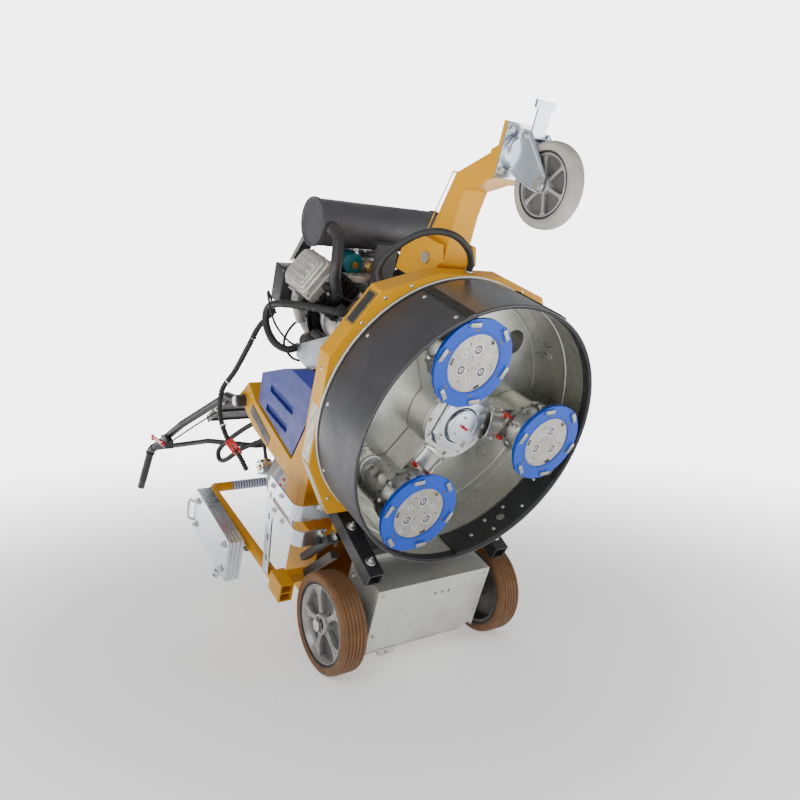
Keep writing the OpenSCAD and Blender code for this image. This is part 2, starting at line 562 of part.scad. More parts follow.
// ---------- castor ----------
piv = [0, -395, 345];
module castor_arm() {
  color("gold") difference() {
    union() {
      slab([[395, 390], [453, 391], [627, 336], [724, 186], [728, 170], [650, 170], [596, 284], [530, 297], [395, 300]], -38, 38);
      slab([[710, 208], [724, 186], [728, 170], [650, 170], [632, 208]], -50, 50);
      translate([-50, piv[1], piv[2]]) rotate([0, 90, 0]) cylinder(r = 45, h = 100);
      blk([-58, -782, 168], [58, -652, 176]);
    }
    slab([[446, 384], [452, 384], [622, 330], [712, 186], [654, 186], [600, 290], [532, 303], [446, 306]], -33, 33);
    translate([-60, piv[1], piv[2]]) rotate([0, 90, 0]) cylinder(r = 12.05, h = 120);
  }
  color("silver") difference() {
    blk([-55, -779, 162], [55, -655, 168]);
  }
  color("dimgray") for (x = [-42, 42]) for (y = [-765, -669]) translate([x, y, 176]) hexbolt(15, 9);
  color("silver") translate([0, -717, 148]) cylinder(r = 12, h = 14);
}
module arm_bracket() {
  color("gold") for (s = [-1, 1]) difference() {
    slab([[330, 351], [372, 300], [400, 282], [445, 300], [445, 385], [400, 470], [330, 480]], s > 0 ? 51 : -63, s > 0 ? 63 : -51);
    translate([s * 57, piv[1], piv[2]]) rotate([0, 90, 0]) translate([0, 0, -20]) cylinder(r = 12, h = 40);
  }
  color("gold") blk([-63, -330, 351], [63, -322, 480]);
  color("dimgray") { translate([-70, piv[1], piv[2]]) rotate([0, 90, 0]) cylinder(r = 12, h = 140); for (s = [-1, 1]) translate([s * 63, piv[1], piv[2]]) rotate([0, s * 90, 0]) hexbolt(30, 8); }
}
cas = [0, -668, 34];
module castor_fork() {
  color("silver") {
    difference() {
      union() {
        translate([0, -717, 140]) cylinder(r = 46, h = 7.5);
        translate([0, -717, 147]) ring(46, 12.05, 14.5, 64);
        for (s = [-1, 1]) slab([[772, 147], [672, 147], [650, 60], [650, 20], [690, 20], [772, 106]], s > 0 ? 27 : -31, s > 0 ? 31 : -27);
        for (s = [-1, 1]) blk([s > 0 ? 27 : -31, -750, 140], [s > 0 ? 31 : -27, -684, 147.5]);
      }
      translate([0, -717, 100]) cylinder(r = 12.05, h = 100);
    }
    translate([-31, -760, 122]) rotate([0, 90, 0]) cylinder(r = 3.95, h = 62, $fn = 32);
    translate([-40, cas[1], cas[2]]) rotate([0, 90, 0]) cylinder(r = 8, h = 80, $fn = 32);
    for (s = [-1, 1]) translate([s * 31, cas[1], cas[2]]) rotate([0, s * 90, 0]) hexbolt(22, 8);
  }
}
module castor_tyre() { color("gray") translate(cas) rotate([0, 90, 0]) translate([0, 0, -castor_w / 2]) rotate_extrude($fn = 96) polygon([[castor_r * 0.72, 3], [castor_r - 8, 0], [castor_r, 9], [castor_r, castor_w - 9], [castor_r - 8, castor_w], [castor_r * 0.72, castor_w - 3]]); }
module castor_rim() {
  color("silver") translate(cas) rotate([0, 90, 0]) translate([0, 0, -castor_w / 2]) difference() {
    union() { difference() { translate([0, 0, 4]) cylinder(r = castor_r * 0.72, h = castor_w - 8); cylinder(r = castor_r * 0.72 - 5, h = 60); }
      translate([0, 0, 1]) cylinder(r = 20, h = castor_w - 2);
      translate([0, 0, castor_w / 2 - 4]) cylinder(r = castor_r * 0.72 - 4, h = 8);
      for (k = [0 : 5]) rotate([0, 0, 60 * k]) translate([14, -4, 8]) cube([castor_r * 0.72 - 18, 8, castor_w - 16]); }
    translate([0, 0, -1]) cylinder(r = 8.05, h = 80, $fn = 32);
  }
}
module brake_pedal() {
  color("silver") difference() {
    union() {
      translate([-26.5, -760, 122]) rotate([0, 90, 0]) cylinder(r = 8, h = 53, $fn = 32);
      blk([-22, -832, 112], [22, -762, 117]);
      blk([-30, -842, 112], [30, -824, 120]);
    }
    translate([-60, -760, 122]) rotate([0, 90, 0]) cylinder(r = 4, h = 120, $fn = 32);
  }
}

// ---------- handle ----------
hy = 288; hz = 858;
module handle_frame() {
  color("black") difference() {
    union() {
      for (s = [-1, 1]) {
        bent([[s * 314, hy, hz], [s * 318, 320, 962], [s * 388, 549, 1186], [s * 445, 757, 1357], [s * handle_hw, 938, 1367]], handle_r);
        translate([s * 314 - 14, hy, hz]) rotate([0, 90, 0]) cylinder(r = 22, h = 28);
        // lever clamp under each bar
        blk([s > 0 ? 408 : -440, 635, 1206], [s > 0 ? 440 : -408, 667, 1266]);
      }
      bent([[-441, 742, 1345], [-300, 600, 1130], [-160, 562, 1002], [160, 562, 1002], [300, 600, 1130], [441, 742, 1345]], 10);
    }
    for (s = [-1, 1]) translate([s * 314 - 16, hy, hz]) rotate([0, 90, 0]) cylinder(r = 10.05, h = 32);
  }
  color("black") translate([-452, 651, 1222]) rotate([0, 90, 0]) cylinder(r = 4, h = 20, $fn = 32);
}
module console_panel() {
  color("black") translate([0, 345, 986]) rotate([44.4, 0, 0]) {
    blk([-300, 0, -4], [300, 250, 4]);
    for (s = [-1, 1]) blk([s > 0 ? 300 : -306, 10, -14], [s > 0 ? 306 : -300, 240, 14]);
    // instrument box
    blk([-150, 60, 4], [150, 200, 58]);
  }
}
module throttle_lever() {
  color("red") difference() {
    union() {
      translate([-449, 651, 1222]) rotate([0, 90, 0]) cylinder(r = 11, h = 8.7, $fn = 32);
      translate([-449, 651, 1222]) rotate([-17, 0, 0]) translate([0, -7, 0]) cube([6, 14, 128]);
      translate([-452, 651, 1222]) rotate([-17, 0, 0]) translate([0, -10, 118]) cube([8, 22, 16]);
    }
    translate([-460, 651, 1222]) rotate([0, 90, 0]) cylinder(r = 4.05, h = 30, $fn = 32);
  }
}

stance() base_housing();
stance() drum_pan();
stance() skirt_band();
stance() front_guard();
stance() rim_liner();
stance() planet_carrier();
stance() carrier_cover();
stance() hub_cap();
stance() grease_nipples();
stance() head_bearing();
stance() carrier_belts();
stance() disc_holder(0);  // disc_holder_1
stance() disc_holder(1);  // disc_holder_2
stance() disc_holder(2);  // disc_holder_3
stance() disc_plate(0);  // disc_plate_1
stance() disc_plate(1);  // disc_plate_2
stance() disc_plate(2);  // disc_plate_3
stance() grinding_ring(0);  // grinding_ring_1
stance() grinding_ring(1);  // grinding_ring_2
stance() grinding_ring(2);  // grinding_ring_3
stance() chassis_frame();
stance() axle_box();
stance() main_axle();
stance() tyre(-1);  // tyre_left
stance() tyre(1);  // tyre_right
stance() rim(-1);  // rim_left
stance() rim(1);  // rim_right
stance() rear_body();
stance() handle_pins();
stance() water_tank();
stance() tank_cap();
stance() blank_plaques();
stance() mount_rails();
stance() crankcase();
stance() cylinders();
stance() valve_covers();
stance() blower_housing();
stance() flywheel();
stance() muffler();
stance() exhaust_pipes();
stance() air_filter();
stance() breather_hose();
stance() hoses_and_loom();
stance() rear_tray();
stance() rear_cage();
stance() weight_plates();
stance() gas_cylinder();
stance() gas_valve();
stance() valve_knob();
stance() straps_and_guards();
service_prop();
stance() castor_arm();
stance() arm_bracket();
stance() castor_fork();
stance() castor_tyre();
stance() castor_rim();
stance() brake_pedal();
stance() handle_frame();
stance() console_panel();
stance() throttle_lever();
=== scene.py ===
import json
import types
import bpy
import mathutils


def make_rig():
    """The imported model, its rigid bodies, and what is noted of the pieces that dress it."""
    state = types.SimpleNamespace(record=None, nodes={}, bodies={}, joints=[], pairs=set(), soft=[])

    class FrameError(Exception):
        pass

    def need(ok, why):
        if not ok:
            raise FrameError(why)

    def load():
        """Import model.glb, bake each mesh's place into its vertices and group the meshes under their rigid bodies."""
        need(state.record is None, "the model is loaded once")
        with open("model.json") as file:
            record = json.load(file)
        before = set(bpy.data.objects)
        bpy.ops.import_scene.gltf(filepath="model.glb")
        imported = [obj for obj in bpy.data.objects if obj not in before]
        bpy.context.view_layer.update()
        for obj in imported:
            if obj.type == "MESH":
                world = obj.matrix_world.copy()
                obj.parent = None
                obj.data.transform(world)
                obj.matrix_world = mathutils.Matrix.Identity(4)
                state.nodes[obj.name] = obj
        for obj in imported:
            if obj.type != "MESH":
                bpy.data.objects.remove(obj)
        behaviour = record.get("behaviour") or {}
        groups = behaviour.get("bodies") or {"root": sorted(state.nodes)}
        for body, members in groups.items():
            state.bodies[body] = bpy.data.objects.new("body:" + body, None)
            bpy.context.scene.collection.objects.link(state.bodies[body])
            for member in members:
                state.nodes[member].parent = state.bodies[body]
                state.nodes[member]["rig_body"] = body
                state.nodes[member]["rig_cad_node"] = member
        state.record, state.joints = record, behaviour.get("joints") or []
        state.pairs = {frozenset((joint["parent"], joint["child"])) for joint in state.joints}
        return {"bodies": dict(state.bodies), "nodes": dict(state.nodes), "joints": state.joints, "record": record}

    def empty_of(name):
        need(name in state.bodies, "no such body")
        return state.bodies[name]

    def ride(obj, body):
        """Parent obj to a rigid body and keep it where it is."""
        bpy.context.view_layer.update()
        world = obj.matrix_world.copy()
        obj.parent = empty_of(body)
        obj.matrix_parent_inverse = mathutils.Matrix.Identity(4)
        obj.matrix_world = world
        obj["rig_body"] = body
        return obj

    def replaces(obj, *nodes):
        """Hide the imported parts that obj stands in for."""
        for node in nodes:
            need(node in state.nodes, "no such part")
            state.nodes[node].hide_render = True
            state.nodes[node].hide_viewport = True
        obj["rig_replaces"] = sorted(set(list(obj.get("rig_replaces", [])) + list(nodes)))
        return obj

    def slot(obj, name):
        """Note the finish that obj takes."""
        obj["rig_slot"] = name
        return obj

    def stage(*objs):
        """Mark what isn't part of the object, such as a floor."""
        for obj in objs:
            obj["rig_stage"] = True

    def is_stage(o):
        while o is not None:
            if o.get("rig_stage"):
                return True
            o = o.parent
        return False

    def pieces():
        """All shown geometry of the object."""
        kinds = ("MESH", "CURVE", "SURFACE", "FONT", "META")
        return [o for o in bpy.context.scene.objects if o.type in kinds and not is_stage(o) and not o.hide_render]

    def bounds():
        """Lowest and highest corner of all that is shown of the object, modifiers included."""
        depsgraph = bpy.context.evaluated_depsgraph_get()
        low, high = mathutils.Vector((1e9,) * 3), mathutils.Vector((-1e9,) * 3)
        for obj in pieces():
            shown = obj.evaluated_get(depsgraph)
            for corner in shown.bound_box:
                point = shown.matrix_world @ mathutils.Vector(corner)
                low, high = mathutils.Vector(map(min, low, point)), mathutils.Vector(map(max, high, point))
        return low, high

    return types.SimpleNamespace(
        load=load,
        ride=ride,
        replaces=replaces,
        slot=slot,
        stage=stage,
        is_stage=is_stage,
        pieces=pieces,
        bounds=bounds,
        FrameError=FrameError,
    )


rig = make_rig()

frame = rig.load()

import json
import math
import random

import bmesh
import bpy
from mathutils import Matrix, Vector

CAD_BOUNDS = [list(v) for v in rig.bounds()]
NODES = frame["nodes"]
TILT = math.radians(-67.373)
# machine millimetres -> row frame metres
MW = Matrix.Translation((0, -0.654826, 0.6909)) @ Matrix.Rotation(TILT, 4, "X") @ Matrix.Scale(0.001, 4)
I4 = Matrix.Identity(4)


def T(x, y=None, z=None):
    return Matrix.Translation(Vector(x) if y is None else Vector((x, y, z)))


def R(deg, axis):
    return Matrix.Rotation(math.radians(deg), 4, axis)


# ------------------------------------------------------------------ materials
class NT:
    """Small wrapper that makes node trees short to write."""

    def __init__(self, name):
        self.m = bpy.data.materials.new(name)
        self.m.use_nodes = True
        self.t = self.m.node_tree
        self.b = self.t.nodes["Principled BSDF"]
        self.tc = self.t.nodes.new("ShaderNodeTexCoord").outputs["Object"]

    def n(self, kind, **kw):
        nd = self.t.nodes.new(kind)
        for k, v in kw.items():
            setattr(nd, k, v)
        return nd

    def link(self, a, b):
        self.t.links.new(a, b)

    def mapped(self, scale):
        mp = self.n("ShaderNodeMapping")
        mp.inputs["Scale"].default_value = scale
        self.link(self.tc, mp.inputs["Vector"])
        return mp.outputs["Vector"]

    def noise(self, scale, detail=3.0, rough=0.55, vec=None, out="Fac"):
        nd = self.n("ShaderNodeTexNoise")
        nd.inputs["Scale"].default_value = scale
        nd.inputs["Detail"].default_value = detail
        nd.inputs["Roughness"].default_value = rough
        self.link(vec or self.tc, nd.inputs["Vector"])
        return nd.outputs[out]

    def voro(self, scale, vec=None, out="Color"):
        nd = self.n("ShaderNodeTexVoronoi")
        nd.inputs["Scale"].default_value = scale
        self.link(vec or self.tc, nd.inputs["Vector"])
        return nd.outputs[out]

    def ramp(self, fac, stops):
        nd = self.n("ShaderNodeValToRGB")
        e = nd.color_ramp.elements
        e[0].position, e[0].color = stops[0][0], (*stops[0][1], 1)
        e[1].position, e[1].color = stops[-1][0], (*stops[-1][1], 1)
        for p, c in stops[1:-1]:
            x = e.new(p)
            x.color = (*c, 1)
        self.link(fac, nd.inputs["Fac"])
        return nd.outputs["Color"]

    def maprange(self, v, a, b, c, d):
        nd = self.n("ShaderNodeMapRange")
        for i, x in enumerate((a, b, c, d)):
            nd.inputs[i + 1].default_value = x
        self.link(v, nd.inputs[0])
        return nd.outputs[0]

    def mix(self, fac, a, b, blend="MIX"):
        nd = self.n("ShaderNodeMix", data_type="RGBA", blend_type=blend)
        for s, v in ((nd.inputs[0], fac), (nd.inputs[6], a), (nd.inputs[7], b)):
            if hasattr(v, "is_output") or isinstance(v, bpy.types.NodeSocket):
                self.link(v, s)
            elif isinstance(v, (int, float)):
                s.default_value = v
            else:
                s.default_value = (*v, 1)
        return nd.outputs[2]

    def math(self, op, a, b=0.0):
        nd = self.n("ShaderNodeMath", operation=op)
        for s, v in ((nd.inputs[0], a), (nd.inputs[1], b)):
            if isinstance(v, (int, float)):
                s.default_value = v
            else:
                self.link(v, s)
        return nd.outputs[0]

    def edge(self, radius=0.0022):
        """1 on sharp outer edges, 0 elsewhere, broken up by noise."""
        bv = self.n("ShaderNodeBevel", samples=3)
        bv.inputs["Radius"].default_value = radius
        g = self.n("ShaderNodeNewGeometry")
        d = self.n("ShaderNodeVectorMath", operation="DOT_PRODUCT")
        self.link(bv.outputs["Normal"], d.inputs[0])
        self.link(g.outputs["Normal"], d.inputs[1])
        e = self.maprange(d.outputs["Value"], 0.97, 0.86, 0.0, 1.0)
        k = self.maprange(self.noise(60, 4), 0.45, 0.62, 0.0, 1.0)
        return self.math("MULTIPLY", e, k)

    def bump(self, height, dist, strength=1.0, normal=None):
        nd = self.n("ShaderNodeBump")
        nd.inputs["Strength"].default_value = strength
        nd.inputs["Distance"].default_value = dist
        self.link(height, nd.inputs["Height"])
        if normal is not None:
            self.link(normal, nd.inputs["Normal"])
        return nd.outputs["Normal"]

    def set(self, color=None, rough=None, metal=None, normal=None, coat=0.0, spec=None):
        b = self.b
        for key, v in (("Base Color", color), ("Roughness", rough), ("Metallic", metal), ("Normal", normal), ("Coat Weight", coat), ("Specular IOR Level", spec)):
            if v is None:
                continue
            s = b.inputs[key]
            if isinstance(v, (int, float)):
                s.default_value = v
            elif isinstance(v, tuple):
                s.default_value = (*v, 1)
            else:
                self.link(v, s)
        if coat:
            b.inputs["Coat Roughness"].default_value = 0.22
        return self.m


def low_dirt(t, amount=0.5):
    """Grows towards the floor: a dusty tint on the lower parts of the machine."""
    sp = t.n("ShaderNodeSeparateXYZ")
    g = t.n("ShaderNodeNewGeometry")
    t.link(g.outputs["Position"], sp.inputs[0])
    h = t.maprange(sp.outputs["Z"], 0.45, 0.0, 0.0, 1.0)
    nz = t.maprange(t.noise(9, 6, 0.65), 0.42, 0.72, 0.0, 1.0)
    return t.math("MULTIPLY", t.math("MULTIPLY", h, nz), amount)


def paint(name, col, rough=0.36, coat=0.25, wear=(0.30, 0.29, 0.27), wear_amt=0.55, metal=0.0, var=0.10, peel=0.00022, dirt=0.35, spec=0.5):
    t = NT(name)
    c2 = tuple(max(0.0, x * (1 - var)) for x in col)
    c3 = tuple(min(1.0, x * (1 + var * 0.6)) for x in col)
    base = t.mix(t.maprange(t.noise(6.5, 5), 0.35, 0.65, 0, 1), c2, c3)
    speck = t.maprange(t.noise(420, 2), 0.72, 0.80, 0.0, 0.35)
    base = t.mix(speck, base, tuple(x * 0.6 for x in col))
    base = t.mix(low_dirt(t, dirt), base, (0.33, 0.29, 0.23))
    e = t.edge()
    base = t.mix(t.math("MULTIPLY", e, wear_amt), base, wear)
    smear = t.maprange(t.noise(14, 6, 0.7), 0.3, 0.75, rough - 0.06, rough + 0.13)
    n = t.bump(t.noise(340, 2, 0.5), peel)
    n = t.bump(t.noise(22, 2, 0.5), 0.0006, 0.6, n)
    return t.set(base, smear, t.math("MULTIPLY", e, 0.4) if not metal else metal, n, coat, spec)


def zinc(name, a, b, c, rough=0.36, spangle=62.0, metal=0.92, streak=True, bumpd=0.00016):
    """Galvanised sheet: crystal spangle patches, faint streaks, white bloom."""
    t = NT(name)
    warp = t.n("ShaderNodeVectorMath", operation="MULTIPLY_ADD")
    nz = t.noise(30, 3, 0.6, out="Color")
    t.link(nz, warp.inputs[0])
    warp.inputs[1].default_value = (0.02, 0.02, 0.02)
    t.link(t.tc, warp.inputs[2])
    v = t.voro(spangle, warp.outputs[0])
    sp = t.n("ShaderNodeSeparateColor")
    t.link(v, sp.inputs[0])
    base = t.ramp(sp.outputs[0], [(0.0, a), (0.5, b), (1.0, c)])
    cloud = t.maprange(t.noise(4, 4, 0.5), 0.40, 0.70, 0.0, 0.35)
    base = t.mix(cloud, base, tuple(min(1, x * 1.10) for x in c))
    e = t.edge(0.0016)
    base = t.mix(t.math("MULTIPLY", e, 0.4), base, tuple(min(1, x * 1.25) for x in c))
    base = t.mix(low_dirt(t, 0.5), base, (0.36, 0.33, 0.28))
    r = t.maprange(sp.outputs[1], 0, 1, rough - 0.03, rough + 0.04)
    r2 = t.maprange(t.noise(7, 5, 0.6), 0.35, 0.7, -0.03, 0.10)
    r = t.math("ADD", r, r2)
    n = t.bump(sp.outputs[2], bumpd, 0.2)
    n = t.bump(t.noise(90, 3, 0.5), 0.00009, 0.5, n)
    if streak:
        n = t.bump(t.noise(30, 3, 0.5, t.mapped((1, 1, 14))), 0.0001, 0.4, n)
    return t.set(base, r, metal, n)


def cast(name, col, rough=0.5, metal=0.8, grain=620, dist=0.0006, stain=0.35):
    """Cast or sand-blasted metal."""
    t = NT(name)
    base = t.mix(t.maprange(t.noise(24, 6, 0.6), 0.38, 0.68, 0, 1), tuple(x * 0.74 for x in col), col)
    base = t.mix(t.maprange(t.noise(7, 5, 0.7), 0.52, 0.75, 0, stain), base, (0.17, 0.145, 0.11))
    e = t.edge(0.0015)
    base = t.mix(t.math("MULTIPLY", e, 0.5), base, tuple(min(1, x * 1.35) for x in col))
    r = t.maprange(t.noise(60, 4), 0.3, 0.7, rough - 0.1, rough + 0.12)
    n = t.bump(t.noise(grain, 3, 0.6), dist * 0.4, 0.8)
    n = t.bump(t.noise(90, 3, 0.5), dist, 0.5, n)
    return t.set(base, r, metal, n)


def turned(name, col, rough=0.3, metal=0.95, scale=(1, 1, 1), fine=900):
    """Machined steel with fine tool lines."""
    t = NT(name)
    base = t.mix(t.maprange(t.noise(30, 5), 0.35, 0.7, 0, 1), tuple(x * 0.8 for x in col), tuple(min(1, x * 1.05) for x in col))
    base = t.mix(t.maprange(t.noise(11, 6, 0.7), 0.56, 0.76, 0, 0.5), base, (0.25, 0.22, 0.18))
    line = t.noise(fine, 2, 0.5, t.mapped(scale))
    r = t.maprange(line, 0.3, 0.7, rough - 0.08, rough + 0.14)
    n = t.bump(line, 0.00008, 0.6)
    n = t.bump(t.noise(200, 3), 0.0001, 0.5, n)
    return t.set(base, r, metal, n)


def rubber(name, col, rough=0.7, var=0.25, dusty=0.35, dust=(0.38, 0.33, 0.27)):
    t = NT(name)
    base = t.mix(t.maprange(t.noise(22, 6, 0.62), 0.34, 0.68, 0, 1), tuple(x * (1 - var) for x in col), tuple(min(1, x * (1 + var * 0.5)) for x in col))
    base = t.mix(t.maprange(t.noise(130, 4, 0.7), 0.60, 0.76, 0, dusty), base, dust)
    base = t.mix(low_dirt(t, dusty), base, dust)
    r = t.maprange(t.noise(34, 5), 0.3, 0.7, rough - 0.1, rough + 0.1)
    n = t.bump(t.noise(520, 3, 0.6), 0.00025, 0.7)
    n = t.bump(t.noise(70, 4, 0.6), 0.0005, 0.4, n)
    return t.set(base, r, 0.0, n, spec=0.35)


def plastic(name, col, rough=0.42, grain=700, wear=0.25):
    t = NT(name)
    base = t.mix(t.maprange(t.noise(8, 5), 0.35, 0.68, 0, 1), tuple(x * 0.86 for x in col), tuple(min(1, x * 1.10 + 0.004) for x in col))
    e = t.edge(0.0018)
    base = t.mix(t.math("MULTIPLY", e, wear), base, tuple(min(1, x * 1.6 + 0.06) for x in col))
    base = t.mix(low_dirt(t, 0.3), base, (0.33, 0.29, 0.23))
    r = t.maprange(t.noise(26, 5, 0.65), 0.3, 0.72, rough - 0.07, rough + 0.14)
    n = t.bump(t.noise(grain, 2, 0.5), 0.00018, 0.55)
    n = t.bump(t.noise(14, 3, 0.5), 0.0012, 0.5, n)
    return t.set(base, r, 0.0, n)


def brushed_dark(name, col, rough=0.42, metal=0.55):
    """Satin dark sheet with faint rolled streaks and scuffs."""
    t = NT(name)
    base = t.mix(t.maprange(t.noise(4.5, 6, 0.6), 0.36, 0.68, 0, 1), tuple(x * 0.78 for x in col), tuple(x * 1.2 for x in col))
    sc = t.maprange(t.noise(9, 8, 0.75, t.mapped((9, 9, 1))), 0.66, 0.74, 0, 0.22)
    base = t.mix(sc, base, tuple(min(1, x * 3 + 0.05) for x in col))
    base = t.mix(low_dirt(t, 0.35), base, (0.27, 0.25, 0.21))
    r = t.maprange(t.noise(12, 6, 0.62), 0.32, 0.7, rough - 0.07, rough + 0.12)
    n = t.bump(t.noise(480, 2, 0.5), 0.00012, 0.5)
    n = t.bump(t.noise(9, 2, 0.5), 0.0012, 0.35, n)
    return t.set(base, r, metal, n)


def decal(name, ground, ink, kind="hatch"):
    """Plain printed pattern with no lettering."""
    t = NT(name)
    w = t.n("ShaderNodeTexWave", wave_type="BANDS", bands_direction="DIAGONAL" if kind == "hatch" else "X")
    w.inputs["Scale"].default_value = 16 if kind == "hatch" else 30
    w.inputs["Distortion"].default_value = 3.0 if kind == "hatch" else 0.0
    w.inputs["Detail"].default_value = 3
    t.link(t.tc, w.inputs["Vector"])
    f = t.maprange(w.outputs["Fac"], 0.45, 0.55, 0, 1)
    base = t.mix(f, ground, ink)
    base = t.mix(t.maprange(t.noise(40, 5), 0.4, 0.8, 0, 0.25), base, tuple(x * 0.7 for x in ground))
    return t.set(base, t.maprange(t.noise(50, 3), 0.3, 0.7, 0.3, 0.5), 0.0, t.bump(t.noise(300, 2), 0.00008, 0.5))


MAT = {
    "yellow_paint": paint("yellow_powder_coat", (0.60, 0.278, 0.0), 0.44, 0.0, (0.34, 0.18, 0.01), 0.45, var=0.07, dirt=0.18, spec=0.32),
    "black_paint": paint("black_powder_coat", (0.016, 0.017, 0.020), 0.42, 0.1, (0.10, 0.10, 0.10), 0.6, var=0.2, dirt=0.3),
    "charcoal_skirt": brushed_dark("charcoal_sheet", (0.062, 0.062, 0.068), 0.45, 0.35),
    "guard_steel": brushed_dark("front_guard_sheet", (0.16, 0.17, 0.18), 0.33, 0.8),
    "zinc": zinc("galvanised_sheet", (0.485, 0.49, 0.44), (0.52, 0.525, 0.475), (0.555, 0.56, 0.515), 0.31),
    "zinc_bright": zinc("bright_zinc_plate", (0.57, 0.64, 0.72), (0.62, 0.68, 0.74), (0.67, 0.71, 0.75), 0.24, 26.0, 1.0, bumpd=0.00005),
    "zinc_cast": zinc("zinc_coated_casting", (0.54, 0.545, 0.50), (0.575, 0.58, 0.54), (0.61, 0.61, 0.575), 0.30, 60.0, 0.95, False, 0.0001),
    "zinc_panel": zinc("zinc_panel", (0.60, 0.61, 0.56), (0.63, 0.64, 0.59), (0.66, 0.665, 0.62), 0.44, 60.0, 0.6, bumpd=0.00006),
    "steel": turned("machined_steel", (0.43, 0.41, 0.37), 0.33),
    "bolt": turned("bolt_steel", (0.66, 0.65, 0.62), 0.26, 1.0),
    "aluminium": cast("cast_aluminium", (0.60, 0.585, 0.56), 0.44, 0.75),
    "aluminium_bright": cast("bright_aluminium", (0.72, 0.71, 0.69), 0.34, 0.85, 700, 0.0004, 0.15),
    "dark_cast": cast("black_cast_fins", (0.030, 0.030, 0.032), 0.46, 0.5, 500, 0.0005, 0.1),
    "silver_cover": cast("silver_cover", (0.66, 0.635, 0.60), 0.36, 0.65, 800, 0.0003, 0.12),
    "blue_ring": paint("blue_disc_enamel", (0.0, 0.052, 0.43), 0.34, 0.0, (0.06, 0.11, 0.28), 0.5, var=0.10, dirt=0.0, spec=0.35),
    "blue_tank": plastic("blue_moulded_tank", (0.012, 0.023, 0.215), 0.42, wear=0.10),
    "brown_tyre": rubber("brown_tyre_rubber", (0.170, 0.078, 0.028), 0.60, 0.22, 0.14),
    "grey_tyre": rubber("grey_castor_rubber", (0.33, 0.31, 0.275), 0.62, 0.18, 0.2),
    "rubber": rubber("black_rubber", (0.020, 0.020, 0.021), 0.52, 0.3, 0.16, (0.12, 0.115, 0.11)),
    "black_plastic": plastic("black_plastic", (0.017, 0.018, 0.020), 0.44),
    "teal_plastic": plastic("teal_filter", (0.005, 0.19, 0.23), 0.33),
    "red_plastic": plastic("red_plastic", (0.55, 0.012, 0.012), 0.32),
    "brass": turned("brass", (0.74, 0.50, 0.19), 0.24, 1.0),
    "grey_paint": paint("grey_cylinder_paint", (0.40, 0.41, 0.40), 0.40, 0.1, (0.25, 0.22, 0.18), 0.4),
    "white_plastic": plastic("white_plastic", (0.68, 0.68, 0.66), 0.4),
    "silver_decal": decal("silver_decal", (0.62, 0.56, 0.40), (0.44, 0.42, 0.38)),
    "blue_decal": decal("blue_label", (0.62, 0.63, 0.66), (0.05, 0.08, 0.30), "bands"),
    "red_label": decal("red_label", (0.66, 0.65, 0.62), (0.50, 0.02, 0.02), "bands"),
    "grey_plaque": plastic("grey_plaque", (0.050, 0.055, 0.060), 0.5),
    "yellow_line": paint("yellow_line", (0.62, 0.42, 0.01), 0.4, 0.1, var=0.08),
    "exhaust_black": cast("heat_resistant_black", (0.030, 0.029, 0.031), 0.48, 0.25, 700, 0.0004, 0.25),
    "dark_steel": cast("dark_oiled_steel", (0.13, 0.125, 0.12), 0.40, 0.8, 500, 0.0004, 0.3),
    "wheel_alu": cast("wheel_aluminium", (0.44, 0.43, 0.415), 0.40, 0.7, 600, 0.0004, 0.2),
    # darker copy of the wheel metal for the webs behind the spokes, the back dishes and the bolt holes: painted shade
    # in the wheels' recesses
    "wheel_dark": cast("wheel_recess", (0.16, 0.155, 0.15), 0.55, 0.6, 500, 0.0005, 0.3),
}


